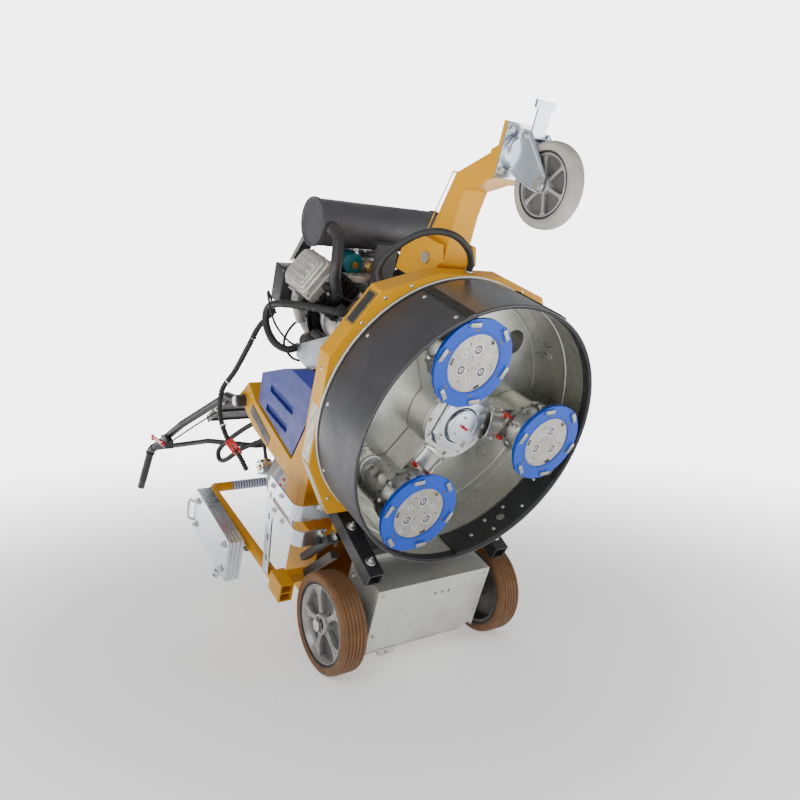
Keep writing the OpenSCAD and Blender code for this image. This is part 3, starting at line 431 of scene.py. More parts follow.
# ------------------------------------------------------------------ mesh building
class Piece:
    """Collects mesh parts drawn in machine millimetres and turns them into one object that rides on a CAD body."""

    def __init__(self, name, body, slot=None, frame_matrix=None):
        self.name, self.body, self.slot = name, body, slot
        self.bm = bmesh.new()
        self.mats = []
        self.fm = frame_matrix or MW

    def mi(self, mat):
        if mat not in self.mats:
            self.mats.append(mat)
        return self.mats.index(mat)

    def _faces(self, verts, faces, mat, m, smooth=True):
        vs = [self.bm.verts.new(m @ Vector(v)) for v in verts]
        k = self.mi(mat)
        out = []
        for f in faces:
            try:
                fc = self.bm.faces.new([vs[i] for i in f])
            except ValueError:
                continue
            fc.material_index = k
            fc.smooth = smooth
            out.append(fc)
        return out

    def lathe(self, prof, mat, m=I4, n=64, a0=0.0, a1=360.0, phase=0.0):
        """Revolves (r, z) pairs about Z. r 0 at an end closes it."""
        full = abs(a1 - a0 - 360) < 1e-6
        cols = n if full else n + 1
        verts, idx = [], []
        for r, z in prof:
            if r < 1e-6:
                idx.append([len(verts)] * cols)
                verts.append((0, 0, z))
            else:
                row = []
                for j in range(cols):
                    a = math.radians(a0 + phase + (a1 - a0) * j / n)
                    row.append(len(verts))
                    verts.append((r * math.cos(a), r * math.sin(a), z))
                idx.append(row)
        faces = []
        for i in range(len(prof) - 1):
            for j in range(n):
                j2 = (j + 1) % cols if full else j + 1
                q = [idx[i][j], idx[i][j2], idx[i + 1][j2], idx[i + 1][j]]
                q = [x for k, x in enumerate(q) if x != q[k - 1]]
                if len(set(q)) >= 3:
                    faces.append(q)
        return self._faces(verts, faces, mat, m)

    def box(self, a, b, mat, m=I4, bevel=1.0, seg=2):
        a, b = Vector(a), Vector(b)
        lo = Vector(map(min, a, b)); hi = Vector(map(max, a, b))
        bevel = min(bevel, 0.45 * min(hi - lo))
        tmp = bmesh.new()
        bmesh.ops.create_cube(tmp, size=1, matrix=Matrix.Translation((lo + hi) / 2) @ Matrix.Diagonal((*(hi - lo), 1)))
        if bevel > 0:
            bmesh.ops.bevel(tmp, geom=list(tmp.edges), offset=bevel, segments=seg, profile=0.5, affect="EDGES")
        self._merge(tmp, mat, m, bevel)

    def _merge(self, tmp, mat, m, bevel=1.0):
        tmp.verts.ensure_lookup_table()
        vs = [self.bm.verts.new(m @ v.co) for v in tmp.verts]
        k = self.mi(mat)
        for f in tmp.faces:
            try:
                fc = self.bm.faces.new([vs[v.index] for v in f.verts])
            except ValueError:
                continue
            fc.material_index = k
            fc.smooth = True
        tmp.free()

    def poly(self, pts, z0, z1, mat, m=I4, bevel=1.0, seg=2):
        """Extrudes a flat outline from z0 to z1 and rounds its edges."""
        tmp = bmesh.new()
        lo = [tmp.verts.new((x, y, z0)) for x, y in pts]
        hi = [tmp.verts.new((x, y, z1)) for x, y in pts]
        n = len(pts)
        tmp.faces.new(list(reversed(lo)))
        tmp.faces.new(hi)
        for i in range(n):
            tmp.faces.new([lo[i], lo[(i + 1) % n], hi[(i + 1) % n], hi[i]])
        bmesh.ops.recalc_face_normals(tmp, faces=list(tmp.faces))
        if bevel > 0:
            sharp = [e for e in tmp.edges if e.calc_face_angle(0) > math.radians(25)]
            bmesh.ops.bevel(tmp, geom=sharp, offset=bevel, segments=seg, profile=0.5, affect="EDGES", clamp_overlap=True)
        self._merge(tmp, mat, m, bevel)

    def tube(self, pts, r, mat, m=I4, k=16, sub=6, rf=None, caps=True, ell=1.0):
        """Sweeps a circle along a smooth path. rf(s) scales the radius at arc length s (mm)."""
        P = [Vector(p) for p in pts]
        n = len(P)
        Q = []
        for i in range(n - 1):
            a, b, c, d = P[max(i - 1, 0)], P[i], P[i + 1], P[min(i + 2, n - 1)]
            for j in range(sub):
                t = j / sub
                Q.append(0.5 * (2 * b + (c - a) * t + (2 * a - 5 * b + 4 * c - d) * t * t + (3 * b - a - 3 * c + d) * t ** 3))
        Q.append(P[-1])
        tan = [(Q[min(i + 1, len(Q) - 1)] - Q[max(i - 1, 0)]).normalized() for i in range(len(Q))]
        u = tan[0].cross(Vector((0.31, 0.22, 0.93))).normalized()
        verts, faces, s = [], [], 0.0
        for i, q in enumerate(Q):
            if i:
                s += (Q[i] - Q[i - 1]).length
                u = (u - tan[i] * u.dot(tan[i])).normalized()
            w = tan[i].cross(u)
            rr = r * (rf(s) if rf else 1.0)
            for j in range(k):
                a = 2 * math.pi * j / k
                verts.append(q + rr * (math.cos(a) * u + ell * math.sin(a) * w))
            if i:
                for j in range(k):
                    o = (i - 1) * k
                    faces.append([o + j, o + (j + 1) % k, o + k + (j + 1) % k, o + k + j])
        if caps:
            faces.append([j for j in reversed(range(k))])
            faces.append([(len(Q) - 1) * k + j for j in range(k)])
        self._faces(verts, faces, mat, m)
        return Q, tan, s

    def cyl(self, p, q, r, mat, m=I4, n=32, ch=0.6):
        p, q = Vector(p), Vector(q)
        d = q - p
        rot = d.to_track_quat("Z", "Y").to_matrix().to_4x4()
        h = d.length
        ch = min(ch, r * 0.4, h * 0.4)
        self.lathe([(0, 0), (r - ch, 0), (r, ch), (r, h - ch), (r - ch, h), (0, h)], mat, m @ Matrix.Translation(p) @ rot, n)

    def hexb(self, p, axis, af, h, mat="bolt", m=I4, washer=True, stud=0.0, turn=0.0):
        """Hexagon head with chamfered corners, washer and optional stud end."""
        rot = Vector(axis).to_track_quat("Z", "Y").to_matrix().to_4x4()
        mm = m @ Matrix.Translation(Vector(p)) @ rot @ R(turn, "Z")
        z = 0.0
        if washer:
            w = max(0.8, 0.10 * af)
            self.lathe([(0, 0), (af * 0.78, 0), (af * 0.80, w * 0.3), (af * 0.78, w), (0, w)], mat, mm, 24)
            z = w
        ro = af / math.sqrt(3)
        fs = self.lathe([(0, z), (ro, z), (ro, z + h * 0.78), (ro * 0.88, z + h), (0, z + h)], mat, mm, 6)
        for f in fs:
            f.smooth = False
        if stud:
            self.lathe([(0, z + h), (af * 0.28, z + h), (af * 0.28, z + h + stud - 0.8), (af * 0.22, z + h + stud), (0, z + h + stud)], mat, mm, 16)

    def cap(self, p, axis, d, h, mat="bolt", m=I4):
        """Socket-head screw with a hexagon recess; the recess is dark steel, painted shade in the socket."""
        rot = Vector(axis).to_track_quat("Z", "Y").to_matrix().to_4x4()
        mm = m @ Matrix.Translation(Vector(p)) @ rot
        r = d / 2
        self.lathe([(r * 0.97, 0), (r, 0.3), (r, h - 0.8), (r - 0.8, h), (r * 0.52, h)], mat, mm, 28)
        # dark steel in the hexagon recess: painted shade
        fs = self.lathe([(r * 0.52, h), (r * 0.5, h - 0.5), (r * 0.5, h * 0.45), (0, h * 0.4)], "dark_steel", mm, 6)
        for f in fs:
            f.smooth = False

    def done(self, replaces=(), auto=38, bev=None):
        me = bpy.data.meshes.new(self.name)
        bmesh.ops.recalc_face_normals(self.bm, faces=list(self.bm.faces))
        self.bm.to_mesh(me)
        self.bm.free()
        for k in self.mats:
            me.materials.append(MAT[k])
        me.transform(self.fm)
        ob = bpy.data.objects.new(self.name, me)
        bpy.context.scene.collection.objects.link(ob)
        me.set_sharp_from_angle(angle=math.radians(auto))
        if bev:
            md = ob.modifiers.new("edges", "BEVEL")
            md.width, md.segments, md.limit_method, md.angle_limit, md.harden_normals = bev, 2, "ANGLE", math.radians(38), True
        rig.ride(ob, self.body)
        if replaces:
            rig.replaces(ob, *replaces)
        if self.slot:
            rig.slot(ob, self.slot)
        return ob


# ------------------------------------------------------------------ CAD nodes keep their shape and get finishes and rounded edges
CAD_MAT = {
    "base_housing": "yellow_paint", "drum_pan": "zinc", "skirt_band": "charcoal_skirt", "front_guard": "guard_steel",
    "rim_liner": "black_plastic", "planet_carrier": "zinc_cast", "carrier_cover": "zinc_cast", "hub_cap": "zinc_panel",
    "grease_nipples": "red_plastic", "head_bearing": "dark_cast", "carrier_belts": "rubber",
    "disc_holder_1": "zinc_cast", "disc_holder_2": "zinc_cast", "disc_holder_3": "zinc_cast",
    "disc_plate_1": "steel", "disc_plate_2": "steel", "disc_plate_3": "steel",
    "grinding_ring_1": "blue_ring", "grinding_ring_2": "blue_ring", "grinding_ring_3": "blue_ring",
    "chassis_frame": "black_paint", "axle_box": "zinc_panel", "main_axle": "dark_steel", "handle_pins": "bolt",
    "tyre_left": "brown_tyre", "tyre_right": "brown_tyre", "rim_left": "wheel_alu", "rim_right": "wheel_alu",
    "rear_body": "yellow_paint", "water_tank": "blue_tank", "tank_cap": "black_plastic", "blank_plaques": "grey_plaque",
    "mount_rails": "zinc_bright", "crankcase": "aluminium", "cylinders": "dark_cast", "valve_covers": "silver_cover",
    "blower_housing": "black_plastic", "flywheel": "dark_cast", "muffler": "charcoal_skirt", "exhaust_pipes": "exhaust_black",
    "air_filter": "teal_plastic", "breather_hose": "rubber", "hoses_and_loom": "rubber", "rear_tray": "yellow_paint",
    "rear_cage": "yellow_paint", "weight_plates": "zinc_bright", "gas_cylinder": "grey_paint", "gas_valve": "brass",
    "valve_knob": "red_plastic", "straps_and_guards": "zinc_bright", "service_prop": "black_paint",
    "castor_arm": "yellow_paint", "arm_bracket": "yellow_paint", "castor_fork": "zinc_bright", "castor_tyre": "grey_tyre",
    "castor_rim": "wheel_alu", "brake_pedal": "zinc_bright", "handle_frame": "black_paint", "console_panel": "black_plastic",
    "throttle_lever": "red_plastic",
}
BEV = {"carrier_cover": 0.0035, "planet_carrier": 0.004, "water_tank": 0.012, "rear_body": 0.007, "base_housing": 0.006, "rear_tray": 0.012,
       "castor_arm": 0.004, "weight_plates": 0.0015, "grinding_ring_1": 0.0015, "grinding_ring_2": 0.0015, "grinding_ring_3": 0.0015,
       "straps_and_guards": 0.0008, "skirt_band": 0.0008, "front_guard": 0.0008, "drum_pan": 0.0007, "chassis_frame": 0.003}
for name, ob in NODES.items():
    me = ob.data
    me.materials.clear()
    me.materials.append(MAT[CAD_MAT.get(name, "black_paint")])
    for p in me.polygons:
        p.material_index = 0
        p.use_smooth = True
    if me.has_custom_normals:
        with bpy.context.temp_override(object=ob, active_object=ob, selected_objects=[ob]):
            try:
                bpy.ops.mesh.customdata_custom_splitnormals_clear()
            except RuntimeError:
                pass
    w = ob.modifiers.new("weld", "WELD")
    w.merge_threshold = 0.00002
    b = ob.modifiers.new("edges", "BEVEL")
    b.width = BEV.get(name, 0.0014)
    b.segments = 2
    b.limit_method = "ANGLE"
    b.angle_limit = math.radians(32)
    b.harden_normals = True
    b.use_clamp_overlap = True


# === pieces start ===
def assign(node, mat, test):
    """Gives the faces of a CAD node whose middle passes the test (machine millimetres) another finish."""
    ob = NODES[node]
    me = ob.data
    inv = MW.inverted()
    me.materials.append(MAT[mat])
    k = len(me.materials) - 1
    for p in me.polygons:
        c = inv @ p.center
        if test(c.x, c.y, c.z):
            p.material_index = k


assign("castor_arm", "zinc_bright", lambda x, y, z: z < 168.1 and y < -640 and abs(x) < 55.5 and z > 140)
assign("castor_arm", "bolt", lambda x, y, z: z > 176.1 and y < -650 and 30 < abs(x) < 53 and z < 186)
assign("gas_valve", "zinc_bright", lambda x, y, z: x < -138.05)
assign("arm_bracket", "bolt", lambda x, y, z: abs(x) > 63.2)
assign("skirt_band", "rubber", lambda x, y, z: math.hypot(x, y) > 389.6)
assign("castor_fork", "bolt", lambda x, y, z: abs(x) > 31.3 and z < 60)
assign("main_axle", "bolt", lambda x, y, z: abs(x) > 322)
assign("muffler", "bolt", lambda x, y, z: y > -366.2 and z > 818)
assign("disc_holder_1", "bolt", lambda x, y, z: z < 80.1 and z > 71)
assign("disc_holder_2", "bolt", lambda x, y, z: z < 80.1 and z > 71)
assign("disc_holder_3", "bolt", lambda x, y, z: z < 80.1 and z > 71)

RND = random.Random(7)


def rrect(hw, hh, r, n=6):
    out = []
    for cx, cy, a in ((hw - r, hh - r, 0), (-hw + r, hh - r, 90), (-hw + r, -hh + r, 180), (hw - r, -hh + r, 270)):
        for i in range(n + 1):
            t = math.radians(a + 90 * i / n)
            out.append((cx + r * math.cos(t), cy + r * math.sin(t)))
    return out


YZX = Matrix(((0, 0, 1, 0), (1, 0, 0, 0), (0, 1, 0, 0), (0, 0, 0, 1)))  # outline in y-z, thickness along x


# ------------------------------------------------------------------ main wheels
def main_wheel(side, s):
    m = T(s * 325, 627, 97.5) @ R(-90 * s, "Y")
    p = Piece(f"tyre_{side}_moulded", f"wheel_{side}", "brown_tyre")
    side_out = [(116.2, 8), (118.5, 4.2), (123.5, 3.4)]
    prof = [(123.5, 3.4), (124.5, 2.2), (128, 1.2), (134, 0.6), (138.5, 0.4), (142, 1.6), (145, 3.6), (147.4, 7.0), (148.6, 11)]
    for g in (17, 28.5, 40, 51.5, 63):
        prof += [(149.3, g - 1.9), (148.9, g - 1.5), (146.6, g - 1.0), (146.3, g), (146.6, g + 1.0), (148.9, g + 1.5), (149.3, g + 1.9)]
    prof += [(148.6, 69), (147.4, 73), (145, 76.4), (142, 78.4), (138.5, 79.6), (134, 79.4), (128, 78.8), (124.5, 77.8), (123.5, 76.6)]
    p.lathe(prof, "brown_tyre", m, 120)
    p.lathe(side_out, "rubber", m, 96)
    p.lathe([(123.5, 76.6), (118.5, 75.8), (116.2, 72)], "rubber", m, 96)
    # moulding pips on the sidewall
    for k in range(24):
        a = math.radians(15 * k + 4)
        p.cyl((131.5 * math.cos(a), 131.5 * math.sin(a), 1.6), (131.5 * math.cos(a), 131.5 * math.sin(a), 0.2), 1.4, "brown_tyre", m, 10, 0.2)
    p.done([f"tyre_{side}"])
    w = Piece(f"wheel_centre_{side}", f"wheel_{side}", "aluminium")
    w.lathe([(116.0, 74), (116.0, 7.4), (114.8, 6.2), (112.6, 6.2), (111.4, 7.6), (110.6, 11), (107.5, 13.5), (103.5, 24), (101.5, 30)], "wheel_alu", m, 96)
    # the web behind the spokes and the back dish take the darker wheel metal: painted shade
    w.lathe([(101.5, 30), (96, 31.5), (36, 27.5), (33, 25)], "wheel_dark", m, 96)
    w.lathe([(116.0, 74), (109, 73), (104, 60), (101, 40), (96, 36), (36, 40), (30, 76.8), (16, 76.8)], "wheel_dark", m, 96)
    w.lathe([(34, 26), (32.5, 12), (31, 8), (29.5, 5.2), (27.5, 4.0), (23.5, 4.0), (22.6, 5.4), (22.0, 8.2), (20.4, 8.8), (15.4, 8.8)], "wheel_alu", m, 72)
    for k in range(5):
        mk = m @ R(72 * k + 18, "Z")
        # spoke: a tapering web that widens into the rim, with a raised rib
        n = 10
        vs, top = [], []
        pts = []
        for i in range(n + 1):
            t = i / n
            r = 27 + (107 - 27) * t
            hw = 11.5 - 4.2 * math.sin(math.pi * min(1, t * 1.15)) + 17 * max(0, t - 0.62) ** 1.4 * 3.2
            pts.append((r, hw))
        out = [(r, hw) for r, hw in pts] + [(r, -hw) for r, hw in reversed(pts)]
        w.poly(out, 12.5, 31, "wheel_alu", mk, 1.6, 2)
        w.poly([(32, 2.6), (100, 3.6), (100, -3.6), (32, -2.6)], 10.6, 13, "wheel_alu", mk, 1.1, 2)
    for k in range(5):
        a = math.radians(72 * k + 54)
        # dark discs for the bolt holes: painted shade
        w.cyl((93 * math.cos(a), 93 * math.sin(a), 31.4), (93 * math.cos(a), 93 * math.sin(a), 29.0), 4.0, "wheel_dark", m, 20, 0.6)
        w.cyl((40 * math.cos(a), 40 * math.sin(a), 28), (40 * math.cos(a), 40 * math.sin(a), 24.6), 5.0, "wheel_alu", m, 20, 0.8)
    w.done([f"rim_{side}"])


main_wheel("left", -1)
main_wheel("right", 1)

# ------------------------------------------------------------------ castor wheel
cm = T(0, -668, 34) @ R(90, "Y") @ T(0, 0, -23)
p = Piece("castor_tyre_moulded", "castor_wheel", "grey_tyre")
prof = [(77.5, 4.2), (80, 2.0), (86, 1.0), (90.5, 1.2), (94, 3.2), (97.2, 6.6), (98.8, 11), (99.6, 17), (99.9, 23), (99.6, 29), (98.8, 35), (97.2, 39.4), (94, 42.8), (90.5, 44.8), (86, 45), (80, 44), (77.5, 41.8)]
p.lathe(prof, "grey_tyre", cm, 120)
p.lathe([(72.3, 7), (74, 5.0), (77.5, 4.2)], "rubber", cm, 96)
p.lathe([(77.5, 41.8), (74, 41.0), (72.3, 39)], "rubber", cm, 96)
p.done(["castor_tyre"])
w = Piece("castor_wheel_centre", "castor_wheel", "aluminium")
for z0, sg in ((0, 1), (46, -1)):
    f = lambda z: z0 + sg * z
    w.lathe([(72.2, f(20)), (72.2, f(5.6)), (71, f(4.6)), (68.6, f(4.8)), (67.4, f(6.4)), (66, f(13)), (64.5, f(17.5))], "wheel_alu", cm, 96)
    # the web behind the castor spokes takes the darker wheel metal: painted shade
    w.lathe([(64.5, f(17.5)), (60, f(19)), (24, f(18)), (21, f(14))], "wheel_dark", cm, 96)
    w.lathe([(21.5, f(15)), (20.3, f(5)), (19, f(2.6)), (16.5, f(1.6)), (12.6, f(1.6)), (11.8, f(3.2)), (8.3, f(3.6))], "wheel_alu", cm, 64)
    for k in range(6):
        mk = cm @ R(60 * k + 10, "Z")
        a, b = sorted((f(7.5), f(18.4)))
        w.poly([(19, 5.2), (40, 3.4), (60, 4.2), (66.5, 8.5), (66.5, -8.5), (60, -4.2), (40, -3.4), (19, -5.2)], a, b, "wheel_alu", mk, 1.2, 2)
w.done(["castor_rim"])

# ------------------------------------------------------------------ grinding discs
DISC_A = [5.75, -114.25, -234.25]


def ring_outline(p, ro, ri, z0, z1, mat, m, n=192):
    vs, fs = [], []
    for j in range(n):
        a = 2 * math.pi * j / n
        o = ro(math.degrees(a))
        c, s_ = math.cos(a), math.sin(a)
        vs += [(ri * c, ri * s_, z0), (o * c, o * s_, z0), (o * c, o * s_, z1), (ri * c, ri * s_, z1)]
    for j in range(n):
        a, b = 4 * j, 4 * ((j + 1) % n)
        for i in range(4):
            fs.append([a + i, a + (i + 1) % 4, b + (i + 1) % 4, b + i])
    p._faces(vs, fs, mat, m)


for i, body in enumerate(("disc_a", "disc_b", "disc_c")):
    m = R(DISC_A[i], "Z") @ T(254, 0, 0)
    p = Piece(f"abrasive_ring_{i + 1}", body, "blue_ring")

    def ro(deg):
        d = (deg - 8 + 30) % 60 - 30
        return 121.0 if abs(d) < 8.0 else 118.9

    ring_outline(p, ro, 78.8, 0.0, 9.5, "blue_ring", m, 240)
    p.lathe([(112.0, 9.5), (110.5, 20.5), (109, 22), (80, 22), (78.8, 20.8), (78.8, 9.5)], "blue_ring", m, 96)
    p.lathe([(81.6, 0.0), (82.4, -0.9), (84.6, -0.9), (85.4, 0.0)], "blue_ring", m, 96)
    for k in range(6):
        mk = m @ R(60 * k + 8, "Z") @ T(108, 0, 0) @ R(12, "Z")
        # blue carrier shoe under each metal segment, and a dark patch for the slot that it hooks into: painted shade,
        # no slot is cut
        p.poly([(-8.6, -19.5), (7, -19.5), (8.2, 0), (7, 19.5), (-8.6, 19.5), (-9.6, 0)], -1.8, 1.0, "blue_ring", mk, 0.8, 2)
        p.poly(rrect(3.0, 7.0, 2.6), -0.5, 0.4, "dark_steel", mk @ T(-15.5, 13, 0), 0.2, 1)
        for q in (-17.6, 17.6):
            p.cyl((-1.0, q, -1.4), (-1.0, q, -2.9), 1.5, "bolt", mk, 14, 0.4)
    p.done([f"grinding_ring_{i + 1}"], bev=0.0009)
    g = Piece(f"metal_segments_{i + 1}", body, "steel")
    for k in range(6):
        mk = m @ R(60 * k + 8, "Z") @ T(108, 0, 0) @ R(12, "Z")
        g.box((-5.8, -15.6, -6.0), (5.8, 15.6, -1.4), "steel", mk, 0.9, 2)
        for q in (-7.8, 0.0, 7.8):
            g.box((-6.0, q - 0.5, -6.15), (6.0, q + 0.5, -4.6), "dark_steel", mk, 0.1, 1)
    g.done()
    d = Piece(f"disc_fixings_{i + 1}", body, "steel")
    for k in range(3):
        a = math.radians(120 * k + 30)
        mh = m @ T(38 * math.cos(a), 38 * math.sin(a), 0)
        d.lathe([(15.2, 1.9), (14.6, 0.7), (12.6, 0.7), (11.8, 1.9)], "zinc_bright", mh, 40)
        d.lathe([(12.0, 1.7), (0, 1.5)], "dark_steel", mh, 40)
        d.cap((38 * math.cos(a), 38 * math.sin(a), 8.2), (0, 0, -1), 13.0, 7.4, "bolt", m)
        a = math.radians(120 * k + 90)
        mh = m @ T(44 * math.cos(a), 44 * math.sin(a), 0)
        d.lathe([(8.4, 1.9), (8.0, 1.1), (5.6, 1.1), (5.0, 1.9)], "zinc_bright", mh, 32)
        d.cap((44 * math.cos(a), 44 * math.sin(a), 6.4), (0, 0, -1), 7.6, 5.4, "bolt", m)
        a = math.radians(120 * k)
        for rr, dd in ((20, 2.4), (58, 3.2)):
            d.lathe([(0, 1.3), (dd * 0.7, 1.4), (dd, 2.1)], "dark_steel", m @ T(rr * math.cos(a), rr * math.sin(a), 0), 16)
        # locating pins beside the ring
        a = math.radians(120 * k + 8)
        d.cyl((71 * math.cos(a), 71 * math.sin(a), 2.6), (71 * math.cos(a), 71 * math.sin(a), -0.2), 3.6, "bolt", m, 20, 0.8)
    d.lathe([(77.4, 1.75), (75.4, 1.55), (74.6, 2.3)], "steel", m, 96)
    d.lathe([(12, 1.9), (11.2, 1.2), (0, 1.2)], "steel", m, 40)
    # dark boxes for the slots round the bolted flange, painted shade with no slot cut, and a dark split line
    for k in range(16):
        mk = m @ R(22.5 * k + 6, "Z")
        d.box((84.6, -4.6, 84), (86.35, 4.6, 91), "dark_steel", mk, 0.5, 1)
    d.lathe([(86.2, 81.2), (86.9, 81.5), (86.9, 82.3), (86.2, 82.6)], "dark_steel", m, 96)
    d.lathe([(66.2, 46), (67.6, 47), (67.6, 51), (66.2, 52)], "zinc_cast", m, 96)
    d.lathe([(76.1, 24.5), (76.7, 25), (76.7, 26.2), (76.1, 26.7)], "dark_steel", m, 96)
    for k in range(6):
        mk = m @ R(60 * k + 20, "Z")
        d.cyl((71, 0, 34), (71, 0, 38.5), 5.0, "bolt", mk, 20)
    d.done()

# ------------------------------------------------------------------ hub, arm details and grease nipples
h = Piece("hub_cap_detail", "carrier", "zinc")
A, B = 74.0, 86.0
co = []
for k in range(4):
    # the small square's sides at angle 20+90k, cut by the turned larger square
    a = math.radians(20 + 90 * k)
    b1 = math.radians(20 + 90 * k + 45)
    # corner between side k and cut k: solve n1.p=A, n2.p=B
    for n1, n2 in ((a, b1), (a + math.pi / 2, b1)):
        det = math.cos(n1) * math.sin(n2) - math.sin(n1) * math.cos(n2)
        x = (A * math.sin(n2) - B * math.sin(n1)) / det
        y = (B * math.cos(n1) - A * math.cos(n2)) / det
        co.append((x, y))
co.sort(key=lambda q: math.atan2(q[1], q[0]))
h.poly(co, 97.0, 107.4, "zinc_bright", I4, 1.6, 3)
h.poly([(x * 0.985, y * 0.985) for x, y in co], 107.2, 110.2, "rubber", I4, 0.4, 1)
h.lathe([(55.4, 97.3), (55.0, 96.5), (51.0, 96.5), (50.2, 97.2)], "rubber", I4, 96)
h.lathe([(50, 97), (50, 88.5), (48.6, 86.8), (46, 86.2), (44.6, 86.6), (44.0, 88.4), (43.2, 88.4), (42.6, 86.6), (41, 86.1), (10, 85.4), (0, 85.2)], "zinc_bright", I4, 96)
for k in range(4):
    a = math.radians(65 + 90 * k)
    h.hexb((70 * math.cos(a), 70 * math.sin(a), 97), (0, 0, -1), 15, 6, "bolt", I4, True, 0, 12 * k)
for k in range(3):
    a = math.radians(120 * k + 25)
    h.cap((30 * math.cos(a), 30 * math.sin(a), 86.0), (0, 0, -1), 8.5, 4.6, "bolt")
for i in range(3):
    mk = R(DISC_A[i], "Z")
    # rolled half-round web along each arm and its flange screws
    h.lathe([(47, -2), (48, 0), (48, 7), (47, 8.4), (40.6, 9), (39.8, 10.4), (39.6, 52), (38.8, 56), (33, 58), (0, 58.4)], "zinc_cast", mk @ T(100, 0, 110.5) @ R(90, "Y") @ Matrix.Scale(0.46, 4, (1, 0, 0)), 64)
    for s_ in (-1, 1):
        for xx in (118, 150):
            h.hexb((xx, s_ * 46.5, 110), (0, 0, -1), 8, 3.6, "bolt", mk, True, 0, 17)
h.done(["hub_cap"])

g = Piece("grease_nipple_caps", "carrier", "red_plastic")
spots = []
for i in range(3):
    for s_ in (-1, 1):
        spots.append((R(DISC_A[i], "Z") @ T(164, s_ * 36, 110), 13.5))
for mk, hh in spots:
    g.lathe([(5.4, 0), (5.4, -3.4), (4.2, -4.2), (3.4, -4.4)], "bolt", mk, 6)
    g.lathe([(3.4, -4.4), (6.4, -4.8), (7.4, -6), (7.4, -9.5), (6.0, -10.2), (6.6, -11.4), (6.8, -15), (5.6, -17.5), (3.6, -18.6), (3.4, -22.5), (2.6, -24.5), (0, -24.8)], "red_plastic", mk, 28)
g.lathe([(5.0, 0), (5.0, -3), (3.2, -4), (3.0, -10), (4.6, -11), (4.6, -15), (3.0, -17), (0, -17.6)], "red_plastic", T(0, 0, 85.2), 28)
g.done(["grease_nipples"])

# belt tensioner drum on the carrier, beside the third arm
p = Piece("carrier_tensioner", "carrier", "zinc")
mt = T(-236, 134, 0)
p.lathe([(0, 141), (30, 141), (34, 142.5), (35.5, 146), (35.5, 149), (33, 151), (31.5, 154), (31.5, 186), (34, 188), (34, 194), (0, 194)], "zinc_cast", mt, 56)
p.lathe([(0, 139.4), (8, 139.4), (9, 140.4), (9, 142)], "bolt", mt, 24)
p.box((-14, -70, 168), (14, 6, 180), "zinc_cast", mt @ R(-62, "Z"), 2)
p.done()

# ------------------------------------------------------------------ drum details
p = Piece("drum_details", "machine", "zinc")
# rolled bead, weld seams and screws inside the pan
p.lathe([(380, 96), (377.6, 97.5), (377.0, 100), (377.6, 102.5), (380, 104)], "zinc", I4, 160)
p.lathe([(352, 198.9), (350, 196.6), (346, 195.9), (342, 196.6), (340, 198.9)], "zinc", I4, 160)
for a in (118, 262):
    ma = R(a, "Z")
    p.box((378.6, -2.2, 6), (380.2, 2.2, 195), "zinc_cast", ma, 0.7)
for k in range(9):
    a = 40 * k + 14
    ma = R(a, "Z")
    p.hexb((379.9, 0, 168), (-1, 0, 0), 10, 5, "bolt", ma, True)
# liner screws round the port hole and the port ring
for a, zz in ((44, 26), (50.5, 70), (61.5, 26), (61.5, 70), (72, 46), (31, 60)):
    p.lathe([(0, 3.2), (2.4, 3.0), (5.0, 1.6), (6.2, 0)], "bolt", R(a, "Z") @ T(375.2, 0, zz) @ R(-90, "Y"), 24)
mp = R(55, "Z") @ T(375.0, 0, 48) @ R(-90, "Y")
p.lathe([(14.2, -4), (14.2, 0.6), (15.2, 1.2), (17.6, 1.2), (18.4, 0)], "rubber", mp, 40)
# rolled edge of the skirt: two thin lips that catch the light
p.done()

p = Piece("skirt_lip", "skirt", "rubber")
p.lathe([(384.4, -2.6), (385.0, -4.0), (388.0, -4.0), (388.9, -2.8), (389.3, 0.5), (389.0, 2.5)], "charcoal_skirt", I4, 160)
for a in (-62.5, -117.5):
    for zz in (22, 160):
        p.lathe([(0, 3.0), (2.6, 2.8), (5.2, 1.5), (6.4, 0)], "bolt", R(a, "Z") @ T(389.0, 0, zz) @ R(90, "Y"), 24)
for a in range(0, 360, 30):
    if 235 < a < 305:
        continue
    p.lathe([(0, 2.6), (2.2, 2.4), (4.4, 1.3), (5.4, 0)], "bolt", R(a + 7, "Z") @ T(389.0, 0, 178) @ R(90, "Y"), 20)
p.done()

# rubber edge inside the rim of the pan
p = Piece("rim_edge_seal", "machine", "rubber")
p.lathe([(380.2, 24), (378.8, 23.2), (378.2, 21), (378.2, 0.5), (378.9, -1.4), (380.6, -2.4), (382.4, -2.4), (383.3, -1.4), (383.3, 1.5), (382.8, 2.0)], "rubber", I4, 160)
p.done()

# black ring over the wall in the gap between the skirt and the housing: painted shade that makes the gap read as a dark
# shadow line
p = Piece("drum_gap_shade_ring", "machine", "rubber")
p.lathe([(382.9, 188), (383.9, 188.4), (383.9, 202.6), (382.9, 203)], "rubber", I4, 160)
p.done()

# sheet that closes the housing down to the drum, with its folded edge and screws
HOUSE = [(-388, -165), (-275, -340), (-110, -392), (110, -392), (275, -340), (388, -165), (388, 150), (300, 322), (-300, 322), (-388, 150)]


def outline_r(th):
    """Distance from the middle to the housing outline in the direction th."""
    c_, s_ = math.cos(th), math.sin(th)
    best = 1e9
    for (x0, y0), (x1, y1) in zip(HOUSE, HOUSE[1:] + HOUSE[:1]):
        ex, ey = x1 - x0, y1 - y0
        det = c_ * -ey + ex * s_
        if abs(det) < 1e-9:
            continue
        r_ = (x0 * -ey + ex * y0) / det
        u_ = (c_ * y0 - s_ * x0) / det
        if r_ > 0 and -1e-6 <= u_ <= 1 + 1e-6:
            best = min(best, r_)
    return best


